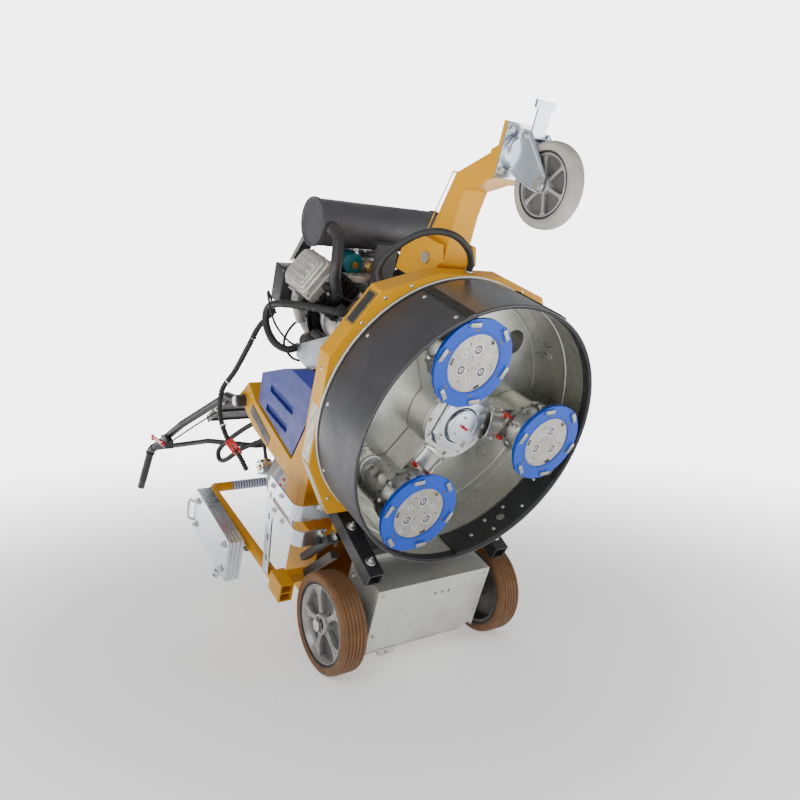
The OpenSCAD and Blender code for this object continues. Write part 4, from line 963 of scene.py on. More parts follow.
p = Piece("housing_face_sheet", "machine", "yellow_paint")
NS = 720
rows = []
for j in range(NS + 1):
    th = 2 * math.pi * j / NS
    ro_ = outline_r(th) - 1.2
    ri_ = 391.4
    rows.append(None if ro_ < ri_ + 1.0 else (math.cos(th), math.sin(th), ri_, ro_))
vs, fs = [], []
for j in range(NS):
    if rows[j] is None or rows[j + 1] is None:
        continue
    k0 = len(vs)
    for c_, s_, ri_, ro_ in (rows[j], rows[j + 1]):
        vs += [(ri_ * c_, ri_ * s_, 211.4), (ri_ * c_, ri_ * s_, 208.6), ((ro_ - 1.0) * c_, (ro_ - 1.0) * s_, 207.6), (ro_ * c_, ro_ * s_, 208.8), (ro_ * c_, ro_ * s_, 211.4)]
    for i in range(4):
        fs.append([k0 + i, k0 + i + 1, k0 + 5 + i + 1, k0 + 5 + i])
    fs.append([k0 + 4, k0, k0 + 5, k0 + 9])
p._faces(vs, fs, "yellow_paint", I4)
bmesh.ops.remove_doubles(p.bm, verts=list(p.bm.verts), dist=0.004)
for a in (-141, -129, -118, -62, -51, -39, 41, 53, 127, 139):
    th = math.radians(a)
    rr = (outline_r(th) + 391) / 2
    if outline_r(th) > 408:
        p.lathe([(0, -2.6), (2.2, -2.4), (4.6, -1.3), (5.6, 0)], "bolt", T(rr * math.cos(th), rr * math.sin(th), 208.4), 24)
p.done()

# blank badge on the housing wall, with a plain yellow border
p = Piece("blank_badge", "machine")
mb_ = T(-309, -287.5, 235) @ Matrix(((0.5425, 0, -0.8400, 0), (-0.8400, 0, -0.5425, 0), (0, 1, 0, 0), (0, 0, 0, 1)))
p.poly(rrect(50, 20, 3), -0.3, 1.0, "black_plastic", mb_, 0.4, 2)
for b0, b1 in (((-47, 16.4, 0.8), (47, 17.6, 1.3)), ((-47, -17.6, 0.8), (47, -16.4, 1.3)), ((-47.6, -17.6, 0.8), (-46.4, 17.6, 1.3)), ((46.4, -17.6, 0.8), (47.6, 17.6, 1.3))):
    p.box(b0, b1, "yellow_line", mb_, 0.2, 1)
p.done()

p = Piece("body_edge_strip", "machine")
p.lathe([(383.4, 203.4), (390.3, 203.6), (391.0, 204.4), (391.0, 206.8), (390.3, 207.8), (383.4, 208)], "white_plastic", I4, 160)
p.done()

# ------------------------------------------------------------------ engine
p = Piece("crankcase_casting", "machine", "aluminium")
me_ = T(0, -70, 0)
p.lathe([(61.4, 372.3), (108, 372.3), (109.8, 374), (109.8, 384), (108, 386.5), (101, 389), (95, 396), (91, 412), (90, 450), (93, 480), (101, 506), (110, 530), (113.5, 556), (114.6, 600), (114.8, 640), (114.8, 700), (113.5, 738), (110, 758), (113.8, 762), (114.6, 766), (114.6, 774), (113, 777.8), (40, 777.8), (34.3, 776)], "aluminium", me_, 96)
for k in range(10):
    mk = me_ @ R(36 * k + 4, "Z")
    p.box((86, -2.6, 392), (104, 2.6, 520), "aluminium", mk, 1.8)
    p.box((104, -2.2, 560), (117.4, 2.2, 756), "aluminium", mk, 1.6)
for k in range(8):
    mk = me_ @ R(45 * k + 11, "Z")
    p.hexb((101, 0, 386), (0, 0, 1), 13, 7, "bolt", mk, True, 3)
p.lathe([(114.8, 600), (117.2, 602), (117.2, 606), (114.8, 608)], "aluminium", me_, 96)
# gear cover with its ribs and bolts, seen between the cylinders
mf = T(0, -70, 560) @ R(-90, "Z") @ Matrix(((0, 0, 1, 0), (1, 0, 0, 0), (0, 1, 0, 0), (0, 0, 0, 1)))
p.poly(rrect(62, 70, 26), 92, 119, "aluminium_bright", mf, 3, 3)
for a in range(0, 360, 45):
    p.hexb((50 * math.cos(math.radians(a)), 58 * math.sin(math.radians(a)), 119), (0, 0, 1), 9, 5, "bolt", mf)
p.lathe([(34, 119), (32, 122), (26, 122.6), (24, 120.4), (8, 120.4), (0, 121)], "aluminium", mf, 48)
for s in (-1, 1):
    ms = T(0, -70, 690) @ R(-90 + 55 * s, "Z")
    p.poly(rrect(62, 74, 16), 60, 134, "aluminium", ms @ YZX, 3, 2)
    for a in (-1, 1):
        for b in (-1, 1):
            p.hexb((134, a * 53, b * 64), (1, 0, 0), 12, 4, "bolt", ms)
# starter motor with its end cap, strap and terminal
mst = T(-186, 0, 0)
p.lathe([(0, 560), (30, 560), (33, 562), (33.5, 568), (35.8, 570), (35.8, 578), (33.6, 580), (33.6, 668), (35.8, 670), (35.8, 684), (33, 689.6), (24, 690.5), (23.6, 712), (20, 714), (0, 714)], "dark_steel", mst, 56)
for k in range(3):
    a = math.radians(120 * k + 20)
    p.hexb((26 * math.cos(a), 26 * math.sin(a), 560), (0, 0, -1), 8, 5, "bolt", mst)
p.poly(rrect(30, 30, 7), 602, 658, "aluminium", T(-120, 2, 0), 2.5, 2)
p.cyl((-186, -42, 596), (-186, -42, 660), 15, "dark_steel", I4, 40, 2)
p.cyl((-186, -42, 660), (-186, -42, 668), 12, "black_plastic", I4, 40, 1.5)
for q in (-6, 6):
    p.hexb((-186 + q, -42, 668), (0, 0, 1), 6, 4, "brass", I4, False, 4)
# oil filter
mo = T(150, 0, 0)
p.lathe([(0, 470), (30, 470), (35.5, 473), (37.6, 480), (37.6, 552), (36.4, 556), (37.6, 558), (37.6, 566), (0, 566)], "black_plastic", mo, 48)
for k in range(12):
    a = 30 * k
    p.box((35, -2.2, 474), (38, 2.2, 492), "black_plastic", mo @ R(a, "Z"), 1)
p.poly(rrect(20, 13, 4), 490, 540, "aluminium", T(116, -1, 0), 2, 2)
# oil filler neck and its cap
p.cyl((-118, -120, 560), (-140, -138, 590), 15, "aluminium", I4, 32, 1)
p.cyl((-140, -138, 590), (-153, -148.6, 608), 20, "black_plastic", I4, 12, 2)
p.done(["crankcase"])

for s, side in ((-1, "left"), (1, "right")):
    ms = T(0, -70, 690) @ R(-90 + 55 * s, "Z")
    p = Piece(f"cylinder_{side}_fins", "machine", "dark_cast")
    p.lathe([(46, 0), (46, 112)], "dark_cast", ms @ T(135, 0, 0) @ R(90, "Y"), 48)
    for k in range(9):
        x = 140 + 11 * k
        p.poly(rrect(67.5 - (2 if k % 2 else 0), 77.5 - (3 if k % 2 else 0), 17), x, x + 3.4, "dark_cast", ms @ YZX, 0.9, 1)
    for a in (-1, 1):
        for b in (-1, 1):
            p.cyl((136, a * 52, b * 62), (240, a * 52, b * 62), 6.5, "dark_cast", ms, 20)
    p.done(["cylinders"] if s > 0 else [])
    c = Piece(f"rocker_cover_{side}", "machine", "aluminium")
    # cylinder head: bright cast block with short cooling ribs
    c.poly(rrect(63, 78, 12), 239, 262, "aluminium", ms @ YZX, 2.2, 2)
    for k in range(5):
        zz = -62 + 31 * k
        c.box((236, -67, zz - 2), (263, 67, zz + 2), "aluminium", ms, 1.4)
    for k in range(4):
        yy = -45 + 30 * k
        c.box((237, yy - 2, -82), (262, yy + 2, 82), "aluminium", ms, 1.4)
    c.poly(rrect(66, 82, 13), 263, 268.5, "silver_cover", ms @ YZX, 1.4, 2)
    # pressed cover that steps in twice, with a raised middle panel and two flutes
    c.poly(rrect(60, 76, 15), 268, 291, "silver_cover", ms @ YZX, 5.5, 4)
    c.poly(rrect(53, 68, 15), 288, 302, "silver_cover", ms @ YZX, 6, 4)
    c.poly(rrect(44, 58, 12), 300, 307.5, "silver_cover", ms @ YZX, 3, 3)
    for yy in (-22, 0, 22):
        c.poly(rrect(5.5, 48, 5.2), 306, 311.5, "silver_cover", ms @ T(0, yy, 0) @ YZX, 2.2, 3)
    for a, b in ((-1, -1), (-1, 1), (1, -1), (1, 1), (-1, 0), (1, 0)):
        c.hexb((268.6, a * 61.4, b * 73), (1, 0, 0), 8.5, 5.5, "bolt", ms)
    # breather stub, spark plug boot and lead
    c.cyl((290, 0, 80), (296, 0, 88), 7, "aluminium_bright", ms, 20, 1)
    c.lathe([(0, -30), (7, -30), (8, -26), (8, -10), (9.5, -8), (9.5, 2), (7, 3), (7, 12)], "rubber", ms @ T(250, 0, -78) @ R(0, "X"), 28)
    c.hexb((250, 0, -79), (0, 0, -1), 16, 4, "bolt", ms)
    c.tube([(250, 0, -105), (236, 4, -124), (206, 8, -132), (170, 20, -118), (140, 44, -96)], 3.6, "rubber", ms, 12, 6)
    # intake runner towards the carburettor
    c.tube([(236, -60, 46), (214, -88, 50), (178, -112, 52), (150, -128, 52)], 17, "aluminium", ms, 28, 6)
    c.poly(rrect(25, 22, 8), 0, 7, "aluminium", ms @ T(236, -67.5, 46) @ R(90, "X"), 1.5, 2)
    c.done(["valve_covers"] if s > 0 else [])

p = Piece("carburettor", "machine", "aluminium")
p.box((-40, -282, 706), (40, -222, 768), "aluminium_bright", I4, 6, 3)
p.cyl((-52, -250, 742), (-38, -250, 742), 24, "aluminium", I4, 36, 2)
p.cyl((38, -250, 742), (52, -250, 742), 24, "aluminium", I4, 36, 2)
p.cyl((0, -252, 768), (0, -252, 812), 30, "aluminium_bright", I4, 44, 2)
p.cyl((0, -252, 690), (0, -252, 708), 22, "brass", I4, 36, 2)
p.box((-30, -296, 716), (30, -280, 756), "dark_steel", I4, 3, 2)
for a in (-1, 1):
    for b in (-1, 1):
        p.hexb((a * 24, -296, 736 + b * 14), (0, -1, 0), 7, 4, "bolt")
# teal fuel filter bowl with clips beside the carburettor, cream cover plates round it
mt_ = T(-76, -262, 0)
p.lathe([(0, 690), (30, 690), (33, 692), (33, 700), (31.5, 702)] + [(31.0 + 1.2 * (k % 2), 704 + 3.0 * k) for k in range(18)] + [(31.5, 760), (34.5, 762), (34.5, 770), (32, 772), (0, 772)], "teal_plastic", mt_, 64)
p.lathe([(35.2, 729), (36, 730), (36, 736), (35.2, 737), (32, 737), (32, 729)], "bolt", mt_, 48)
p.cyl((-76, -262, 772), (-76, -262, 790), 13, "aluminium_bright", I4, 32, 1.5)
p.cyl((-76, -262, 676), (-76, -262, 691), 11, "brass", I4, 32, 1.5)
p.box((-112, -236, 648), (36, -216, 690), "silver_cover", I4, 4, 3)
p.box((34, -296, 760), (84, -238, 806), "silver_cover", I4, 5, 3)
for xx in (-96, -60, -20, 18):
    p.hexb((xx, -236, 668), (0, -1, 0), 8, 4, "bolt")
p.tube([(-76, -262, 786), (-70, -268, 806), (-40, -262, 812), (-10, -254, 800)], 5, "rubber", I4, 14, 8)
p.tube([(70, -290, 760), (84, -304, 720), (70, -300, 670), (40, -270, 640)], 6, "rubber", I4, 14, 8)
p.cyl((46, -262, 716), (64, -262, 716), 4, "bolt")
p.box((60, -290, 712), (63, -250, 720), "bolt", I4, 0.8)
p.tube([(62, -286, 716), (80, -300, 724), (120, -250, 780), (110, -170, 812)], 2.2, "bolt", I4, 10, 6)
# air duct up to the filter and teal filter element
p.tube([(0, -252, 806), (0, -250, 840), (0, -220, 862), (0, -190, 880)], 26, "black_plastic", I4, 32, 6)
p.lathe([(58, 0.4), (58.6, 3)] + [(56.6 + 1.4 * (k % 2), 4 + 2.1 * k) for k in range(20)] + [(58.6, 46), (58, 49)], "teal_plastic", T(0, -140, 876.4), 96)
p.lathe([(57, 49), (61.6, 50), (61.9, 52), (61.9, 57), (60.4, 59.2), (40, 59.8), (38, 58.4), (14, 58.4), (12, 59.8), (0, 59.8)], "teal_plastic", T(0, -140, 876.4), 72)
p.lathe([(0, 0.2), (60, 0.2), (60.5, 1.6), (58, 2.6)], "aluminium", T(0, -140, 876.0), 64)
for k in range(3):
    a = math.radians(120 * k + 40)
    p.box((-4, -3, 0), (4, 1.5, 34), "bolt", T(0, -140, 884) @ R(120 * k + 40, "Z") @ T(0, 60.2, 0), 0.8)
p.done(["air_filter"])

# fan shroud with its grille and intake louvres
p = Piece("fan_shroud", "machine", "black_plastic")
ms_ = T(0, -70, 0)
p.lathe([(150, 784.4), (157.4, 784.4), (157.8, 790), (156.4, 792), (157.6, 794), (157.8, 850), (155, 864), (148, 872.4), (138, 875.4), (104, 875.8), (98.5, 873.6), (97, 868)], "black_plastic", ms_, 112)
p.lathe([(97, 868), (96.5, 860), (99, 858), (148.6, 858), (149.2, 786)], "black_plastic", ms_, 96)
for rr in range(22, 97, 9):
    p.lathe([(rr - 1.3, 868.4), (rr - 1.3, 870.6), (rr + 1.3, 870.6), (rr + 1.3, 868.4), (rr - 1.3, 868.4)], "dark_steel", ms_, 72)
for k in range(8):
    p.box((10, -2.0, 866.2), (98, 2.0, 868.6), "dark_steel", ms_ @ R(45 * k, "Z"), 0.7)
p.lathe([(0, 871.6), (16, 871.4), (20, 870.2), (21, 867)], "black_plastic", ms_, 36)
for k in range(8):
    p.hexb((127 * math.cos(math.radians(45 * k + 20)), 127 * math.sin(math.radians(45 * k + 20)), 875.4), (0, 0, 1), 9, 5, "bolt", ms_)
p.box((-257.6, -204.6, 792.4), (-150, -85.4, 800), "black_plastic", I4, 2.5)
p.box((-257.6, -204.6, 854), (-150, -85.4, 861.8), "black_plastic", I4, 2.5)
p.box((-257.6, -204.6, 792.4), (-252, -85.4, 861.8), "black_plastic", I4, 2.4)
p.box((-257.6, -204.6, 792.4), (-130, -199, 861.8), "black_plastic", I4, 2.4)
p.box((-257.6, -91, 792.4), (-130, -85.4, 861.8), "black_plastic", I4, 2.4)
for k in range(7):
    p.box((-258.0, -196, 799 + 8.2 * k), (-253, -94, 802.4 + 8.2 * k), "dark_steel", I4, 0.8)
for a in (-196, -94):
    for b in (798, 856):
        p.hexb((-257.8, a, b), (-1, 0, 0), 7, 0.1, "bolt", I4, False)
p.done(["blower_housing"])

# ------------------------------------------------------------------ exhaust
p = Piece("exhaust_bends", "machine", "black_paint")
for s in (-1, 1):
    p.tube([(s * 172, -190, 611), (s * 172, -191, 600), (s * 176, -200, 586), (s * 192, -226, 575), (s * 205, -270, 571), (s * 205, -310, 576), (s * 199, -345, 594), (s * 190, -364, 622), (s * 185, -370, 652), (s * 184, -370, 676)], 17, "exhaust_black", I4, 36, 7)
    p.lathe([(17.5, 606.5), (27, 606.5), (27.8, 607.3), (27.8, 610.8), (27, 611.4), (17.5, 611.4)], "exhaust_black", T(s * 172, -190, 0), 48)
    for a in (0, 180):
        p.hexb((s * 172 + 22 * math.cos(math.radians(a)), -190, 606.4), (0, 0, -1), 8, 5, "bolt", I4, True, 3)
    p.lathe([(17.2, 655), (19.2, 657), (20.4, 660), (20.4, 668), (22, 676), (17.2, 680)], "exhaust_black", T(s * 184, -370, 0), 40)
    # weld bead where the pipe meets the can
    for k in range(26):
        a = 2 * math.pi * k / 26
        yy = 19.5 * math.sin(a)
        zz = 745 - math.sqrt(max(0, 71.2 ** 2 - yy ** 2))
        p.lathe([(0, -1.4), (2.0, -1.0), (2.5, 0.4), (1.4, 1.6), (0, 1.8)], "exhaust_black", T(s * 184 + 19.5 * math.cos(a), -370 + yy, zz), 8)
p.done(["exhaust_pipes"])

p = Piece("silencer_details", "machine", "black_paint")
mx = T(0, -370, 745) @ R(90, "Y")
for x0, sg in ((-216, -1), (236, 1)):
    p.lathe([(73.0, x0 - sg * 12), (73.4, x0 - sg * 10), (73.6, x0 - sg * 2), (72.2, x0 + sg * 0.0), (68.6, x0 - sg * 0.4), (67.2, x0 - sg * 3), (66, x0 - sg * 4.4), (58, x0 - sg * 5.2), (0, x0 - sg * 5.4)], "charcoal_skirt", mx, 96)
for xx in (-120, 150):
    p.lathe([(70.0, xx - 1.4), (70.7, xx - 0.8), (70.7, xx + 0.8), (70.0, xx + 1.4)], "charcoal_skirt", mx, 96)
for k in range(6):
    p.hexb((-170 + 72 * k, -374.4, 745 + 79), (0, -1, 0), 9, 5, "bolt", I4, True)
for k in range(14):
    p.lathe([(0, 1.0), (2.6, 0.8), (3.4, 0)], "charcoal_skirt", T(-196 + 31 * k, -374.1, 826) @ R(90, "X"), 16)
p.done()

# ------------------------------------------------------------------ hoses, loom, leads
p = Piece("breather_hose_corrugated", "machine", "rubber")
pts = [(-108, -120, 512), (-165, -160, 505), (-215, -165, 530), (-262, -140, 640), (-290, -105, 745), (-297, -70, 788), (-301, -25, 772), (-296, 8, 710), (-262, 20, 678), (-223.5, 8, 674)]
p.tube(pts, 11.8, "rubber", I4, 20, 44, lambda s: 1.0 if (s < 30 or 330 < s < 520) else 1.0 + 0.075 * math.sin(2 * math.pi * s / 7.0))
for c, ax in (((-114, -125, 511), (-1, -0.7, -0.1)), ((-229, 10, 675), (-1, 0.3, 0.1))):
    rot = Vector(ax).to_track_quat("Z", "Y").to_matrix().to_4x4()
    p.lathe([(12.2, -5), (13.6, -4.6), (13.6, 4.6), (12.2, 5)], "bolt", T(c) @ rot, 32)
p.done(["breather_hose"])

p = Piece("loom_and_hoses", "machine", "rubber")
hoop = [(-190.7, -311.2, 332), (-202, -345, 352), (-196, -400, 332), (-165, -462, 284), (-130, -490, 245), (-80, -488, 222), (-35, -458, 214), (-8, -422, 222), (0, -397.5, 232)]
p.tube(hoop, 9, "rubber", I4, 24, 10)
loom = [(-262, -60, 806), (-300, 0, 822), (-318, 90, 850), (-328, 200, 905), (-346, 290, 948), (-352, 372, 925), (-348, 425, 850), (-330, 452, 780), (-306, 500, 745)]
p.tube(loom, 8.2, "rubber", I4, 22, 60, lambda s: 1.0 + (0.13 if (s % 10.5) < 6.4 else -0.10))
ctrl = [(-225, 372, 862), (-250, 430, 918), (-282, 520, 988), (-298, 580, 1022), (-300, 606, 1000), (-290, 586, 962), (-262, 510, 905), (-225, 450, 845), (-200, 396, 800)]
p.tube(ctrl, 8.8, "rubber", I4, 24, 12)
for c, ax in ((hoop[0], (-0.36, -0.71, 0.6)), (hoop[-1], (0.2, 0.95, 0.3)), (ctrl[0], (-0.3, 0.7, 0.8)), (ctrl[-1], (-0.3, 0.7, 0.7))):
    rot = Vector(ax).to_track_quat("Z", "Y").to_matrix().to_4x4()
    p.lathe([(5, -4), (11, -4), (12, -2.5), (12, 1), (10.4, 2.2), (10.4, 12), (9.4, 13.4)], "bolt", T(c) @ rot, 28)
for q in (0.2, 0.45, 0.7):
    i = int(q * (len(loom) - 1))
    a, b = Vector(loom[i]), Vector(loom[i + 1])
    rot = (b - a).to_track_quat("Z", "Y").to_matrix().to_4x4()
    p.lathe([(9.4, -3), (10.4, -2.4), (10.4, 2.4), (9.4, 3)], "white_plastic", T((a + b) / 2) @ rot, 28)
p.done(["hoses_and_loom"])

p = Piece("loom_connectors", "machine", "red_plastic")
mc = T(-338, 440, 812) @ Vector((0.3, 0.36, -1)).to_track_quat("Z", "Y").to_matrix().to_4x4()
p.poly(rrect(15, 11, 4), -26, 22, "red_plastic", mc, 2, 2)
p.poly(rrect(11.5, 8, 3), 22, 40, "red_plastic", mc, 1.5, 2)
for k in range(4):
    p.box((-15.6, -9, -18 + 8 * k), (15.6, 9, -15 + 8 * k), "red_plastic", mc, 0.8)
p.tube([(-262, -60, 806), (-296, -124, 800), (-318, -118, 744), (-312, -62, 690), (-270, -14, 658), (-216, 6, 652)], 3.6, "rubber", I4, 12, 10)
p.tube([(-140, -60, 790), (-200, -20, 786), (-236, 30, 760), (-228, 60, 700), (-205, 44, 640)], 4.2, "rubber", I4, 12, 8)
p.tube([(-150, 10, 740), (-120, 60, 750), (-40, 80, 770), (60, 80, 760), (140, 40, 720), (160, 10, 640), (150, 8, 570)], 4.0, "rubber", I4, 12, 8)
p.done()

# ------------------------------------------------------------------ gas cylinder, regulator, valve
gx, gy = -60, 600
p = Piece("gas_cylinder_shell", "machine", "grey_paint")
mg = T(gx, gy, 0)
p.lathe([(93, 470.8), (99.4, 470.8), (100, 472), (99.6, 499), (97, 501.6)], "grey_paint", mg, 72)
pr = [(96, 500.6)]
for k in range(1, 9):
    t = math.radians(90 * k / 8)
    pr.append((96 + 32 * math.sin(t), 522 - 21.4 * math.cos(t)))
pr += [(128, 664), (127.6, 668), (128.2, 669.2), (128.2, 672.4), (127.6, 673.6), (128, 678), (128, 812)]
for k in range(1, 11):
    t = math.radians(90 * k / 10)
    pr.append((32 + 96 * math.cos(t), 812 + 56 * math.sin(t)))
pr += [(29, 870), (27.2, 873), (26.2, 883.6), (15, 884)]
p.lathe(pr, "grey_paint", mg, 112)
p.lathe([(68.6, 856), (68.6, 903), (69.8, 905), (73, 905), (74.2, 903), (74.2, 851)], "grey_paint", mg, 72, 195, 525)
for a in (195, 525):
    p.box((68, -1.6, 858), (74.6, 1.6, 904), "grey_paint", mg @ R(a, "Z"), 1.0)
p.lathe([(128.25, 700), (128.6, 700.6), (128.6, 788), (128.25, 788.6)], "white_plastic", mg, 64, 150, 230)
p.lathe([(128.65, 706), (128.8, 706.4), (128.8, 726), (128.65, 726.4)], "red_label", mg, 64, 152, 228)
p.done(["gas_cylinder"])

p = Piece("gas_fittings", "machine", "brass")
p.lathe([(15.4, 886), (17.2, 888), (17.2, 893), (15.6, 895)], "brass", mg, 6)
p.lathe([(10.4, 0), (13, 2), (13, 10), (10.4, 12)], "brass", T(gx - 30, gy, 905) @ R(-90, "Y"), 6)
p.lathe([(30.3, -3), (31.2, -1), (31.2, 2), (30.3, 4)], "bolt", T(gx - 98, gy, 905) @ R(-90, "Y"), 56)
for k in range(6):
    a = math.radians(60 * k)
    p.hexb((gx - 118.2, gy + 25 * math.cos(a), 905 + 25 * math.sin(a)), (-1, 0, 0), 6, 3, "bolt")
p.lathe([(0, 6), (9, 6), (11, 4), (11, 0)], "brass", T(gx - 118, gy, 905) @ R(-90, "Y"), 32)
p.tube([(gx - 98, gy - 30, 905), (gx - 100, gy - 60, 920), (gx - 110, gy - 110, 930), (gx - 130, gy - 160, 900), (gx - 140, gy - 205, 860), (gx - 140, gy - 224, 830)], 7, "rubber", I4, 20, 10)
p.cyl((gx - 98, gy - 24, 905), (gx - 98.4, gy - 40, 907), 9, "brass", I4, 6)
p.done()

k_ = Piece("gas_knob_grip", "gas_knob", "red_plastic")
pts = []
for j in range(72):
    a = 2 * math.pi * j / 72
    r_ = 26.6 + 3.1 * math.cos(6 * a)
    pts.append((r_ * math.cos(a), r_ * math.sin(a)))
k_.poly(pts, 930.6, 943.8, "red_plastic", mg, 2.2, 3)
k_.lathe([(0, 944.0), (7, 944.0), (8.6, 943.4), (9.0, 942.6)], "bolt", mg, 24)
k_.done(["valve_knob"])

p = Piece("strap_buckles", "machine", "zinc")
for zz in (580, 740):
    p.hexb((gx - 8, gy - 152, zz + 26), (0, 0, 1), 11, 6, "bolt", I4, True, 4)
    p.hexb((gx + 8, gy - 162, zz + 26), (0, 0, 1), 11, 6, "bolt", I4, True, 4)
for s in (-1, 1):
    for d in (0, 1):
        yy = 352 + 68 * d
        zz = 262 - 30 * d
        p.hexb((s * (290), yy - 12, zz), (0, 0, -1), 15, 7, "bolt", I4, True, 4)
        p.hexb((s * 371.6, yy - 8, zz + 92), (s, 0, 0), 13, 6, "bolt", I4, True, 3)
        p.hexb((s * 371.6, yy - 8, zz + 150), (s, 0, 0), 13, 6, "bolt", I4, True, 3)
    # dark patches for the slots in the long angle bar: painted shade, no slot is cut
    ma = T(s * 367.5, 345, 430) @ R(-10, "X")
    for k in range(4):
        yy = 40 + 70 * k
        xx = 4.05 if s > 0 else -4.05
        p.poly(rrect(4.5, 11, 4.4), 0, 0.5, "dark_steel", ma @ T(s * 4.02, yy, -2) @ R(90 * s, "Y"), 0.1, 1)
p.done()

# ------------------------------------------------------------------ chassis, axle box
p = Piece("chassis_bolts", "machine", "steel")
for s in (-1, 1):
    mt = T(s * 228, 424, 15) @ R(15.3, "X")
    for zz in (48, 176):
        p.hexb((0, -22, zz), (0, -1, 0), 17, 10, "bolt", mt, True, 9)
        p.lathe([(6, 0), (14, 0), (15, 1), (14, 2.2), (6, 2.2)], "bolt", mt @ T(0, -22, zz) @ R(90, "X"), 28)
        p.hexb((0, 22, zz), (0, 1, 0), 17, 7, "bolt", mt, True, 3)
    p.hexb((s * 253.6, 415, 214), (s, 0, 0), 15, 7, "bolt")
    # open end of the square tube: a dark inner lip
    p.box((-20.4, -18.4, 0.2), (20.4, -17.2, 30), "black_paint", mt, 0.5)
p.done()

p = Piece("axle_box_details", "machine", "zinc")
for xx in (0, 25, 50):
    p.poly(rrect(2.6, 6.0, 2.5), 12.2, 13.4, "dark_steel", T(xx + 8, 527, 0), 0.3, 1)
for xx in (-186, 186):
    for yy in (490, 640):
        p.hexb((xx, yy, 13), (0, 0, -1), 9, 4, "bolt")
# folded side flanges and lower lip of the panel
for s in (-1, 1):
    p.box((s * 203.2, 476, 12.0), (s * 196, 700, 15.4), "zinc_panel", I4, 1.4)
    p.box((s * 203.9, 474, 14), (s * 202.6, 703, 40), "zinc_panel", I4, 0.5)
    for yy in (520, 660):
        p.hexb((s * 203.6, yy, 150), (s, 0, 0), 11, 5, "bolt")
p.box((-196, 700, 10.8), (160, 706.6, 15), "zinc_panel", I4, 1.8)
# small towing tab below the left corner, with a hole rim
p.poly([(-150, 700), (-92, 700), (-96, 724), (-138, 727), (-146, 722)], 9.5, 13, "zinc_panel", I4, 1.0, 2)
p.box((-150, 698, 9.5), (-146.8, 726, 26), "zinc_panel", I4, 1.0)
p.lathe([(3.4, 9.2), (5.4, 9.2), (6.0, 9.6), (5.4, 10)], "dark_steel", T(-126, 713, 0), 24)
for s in (-1, 1):
    # bearing flanges round the axle
    mb = T(s * 203.3, 627, 97.5) @ R(90 * s, "Y")
    p.poly(rrect(34, 34, 12), 0, 7, "zinc_cast", mb, 1.6, 2)
    for a in (-1, 1):
        for b in (-1, 1):
            p.hexb((a * 25, b * 25, 7), (0, 0, 1), 10, 5, "bolt", mb)
    p.lathe([(15.2, 7), (22, 8), (22, 14), (20.5, 15.6), (15.2, 15.6)], "zinc_cast", mb, 48)
p.done()

# ------------------------------------------------------------------ body covers
p = Piece("body_fixings", "machine", "yellow_paint")


def dome(p, pos, axis, r, mat="bolt"):
    rot = Vector(axis).to_track_quat("Z", "Y").to_matrix().to_4x4()
    mm = T(pos) @ rot
    p.lathe([(r * 1.35, 0), (r * 1.35, 0.8), (r * 1.1, 1.0)], mat, mm, 28)
    p.lathe([(r, 0.6), (r * 0.94, r * 0.3), (r * 0.7, r * 0.52), (r * 0.42, r * 0.6)], mat, mm, 28)
    # dark steel in the hexagon recess: painted shade
    fs = p.lathe([(r * 0.42, r * 0.6), (r * 0.40, r * 0.3), (0, r * 0.28)], "dark_steel", mm, 6)
    for f in fs:
        f.smooth = False


for s in (-1, 1):
    for y, z in ((-120, 236), (30, 236), (130, 236)):
        dome(p, (s * 388.1, y, z), (s, 0, 0), 4.4)
    for y, z in ((330, 640), (348, 560), (372, 500), (262, 720), (246, 812)):
        if abs(y - 306) > 50 or not 640 < z < 800:
            dome(p, (s * 296.1, y if y < 344 else 340, z), (s, 0, 0), 4.2)
    for y in (120, 220, 320):
        dome(p, (s * 296.1, y, 372), (s, 0, 0), 4.2)
    # pressed seam between deck and column
    p.box((s * 295.4, 150, 391), (s * 296.6, 420, 393.4), "yellow_paint", I4, 0.5)
for x in (-220, -110, 0, 110, 220):
    dome(p, (x, 262, 350 - 0.0), (0, 0, 1), 4.2)
for x in (-180, 180):
    dome(p, (x, 735.1, 420), (0, 1, 0), 5)
    dome(p, (x, 735.1, 452), (0, 1, 0), 5)
# tray ribs and drain plug
for x in (-120, 120):
    p.box((x - 20, 500.2, 340), (x + 20, 497, 450), "yellow_paint", I4, 2)
p.hexb((150, 712.5, 330), (0, 0.8, -0.6), 17, 7, "bolt")
p.done()

# printed strips, with no lettering
p = Piece("plain_decal_strips", "machine")
for s in (-1, 1):
    v = [(s * 388.5, -20, 214), (s * 388.5, 148, 214), (s * 388.5, 148, 252), (s * 388.5, -20, 252)]
    p._faces(v, [(0, 1, 2, 3)], "silver_decal", I4, False)
    a, b = Vector((s * 388, 150, 0)), Vector((s * 300, 322, 0))
    n = Vector((s * 172, 88, 0)).normalized() * 0.5
    p._faces([a + n + Vector((0, 3, 214)) - Vector((0, 0, 0)), b + n + Vector((0, 0, 214)), b + n + Vector((0, 0, 252)), a + n + Vector((0, 3, 252))], [(0, 1, 2, 3)], "silver_decal", I4, False)
# band round the cage cross tube and small labels on the tray and cylinder side
p.lathe([(17.35, -150), (17.35, 60)], "blue_decal", T(-120, 684, 930) @ R(90, "Y"), 40)
for s in (-1, 1):
    p.poly(rrect(12, 30, 2), 248.2, 248.7, "red_label", T(0, 560, 400) @ YZX if s > 0 else T(-496.9, 560, 400) @ YZX, 0.1, 1)
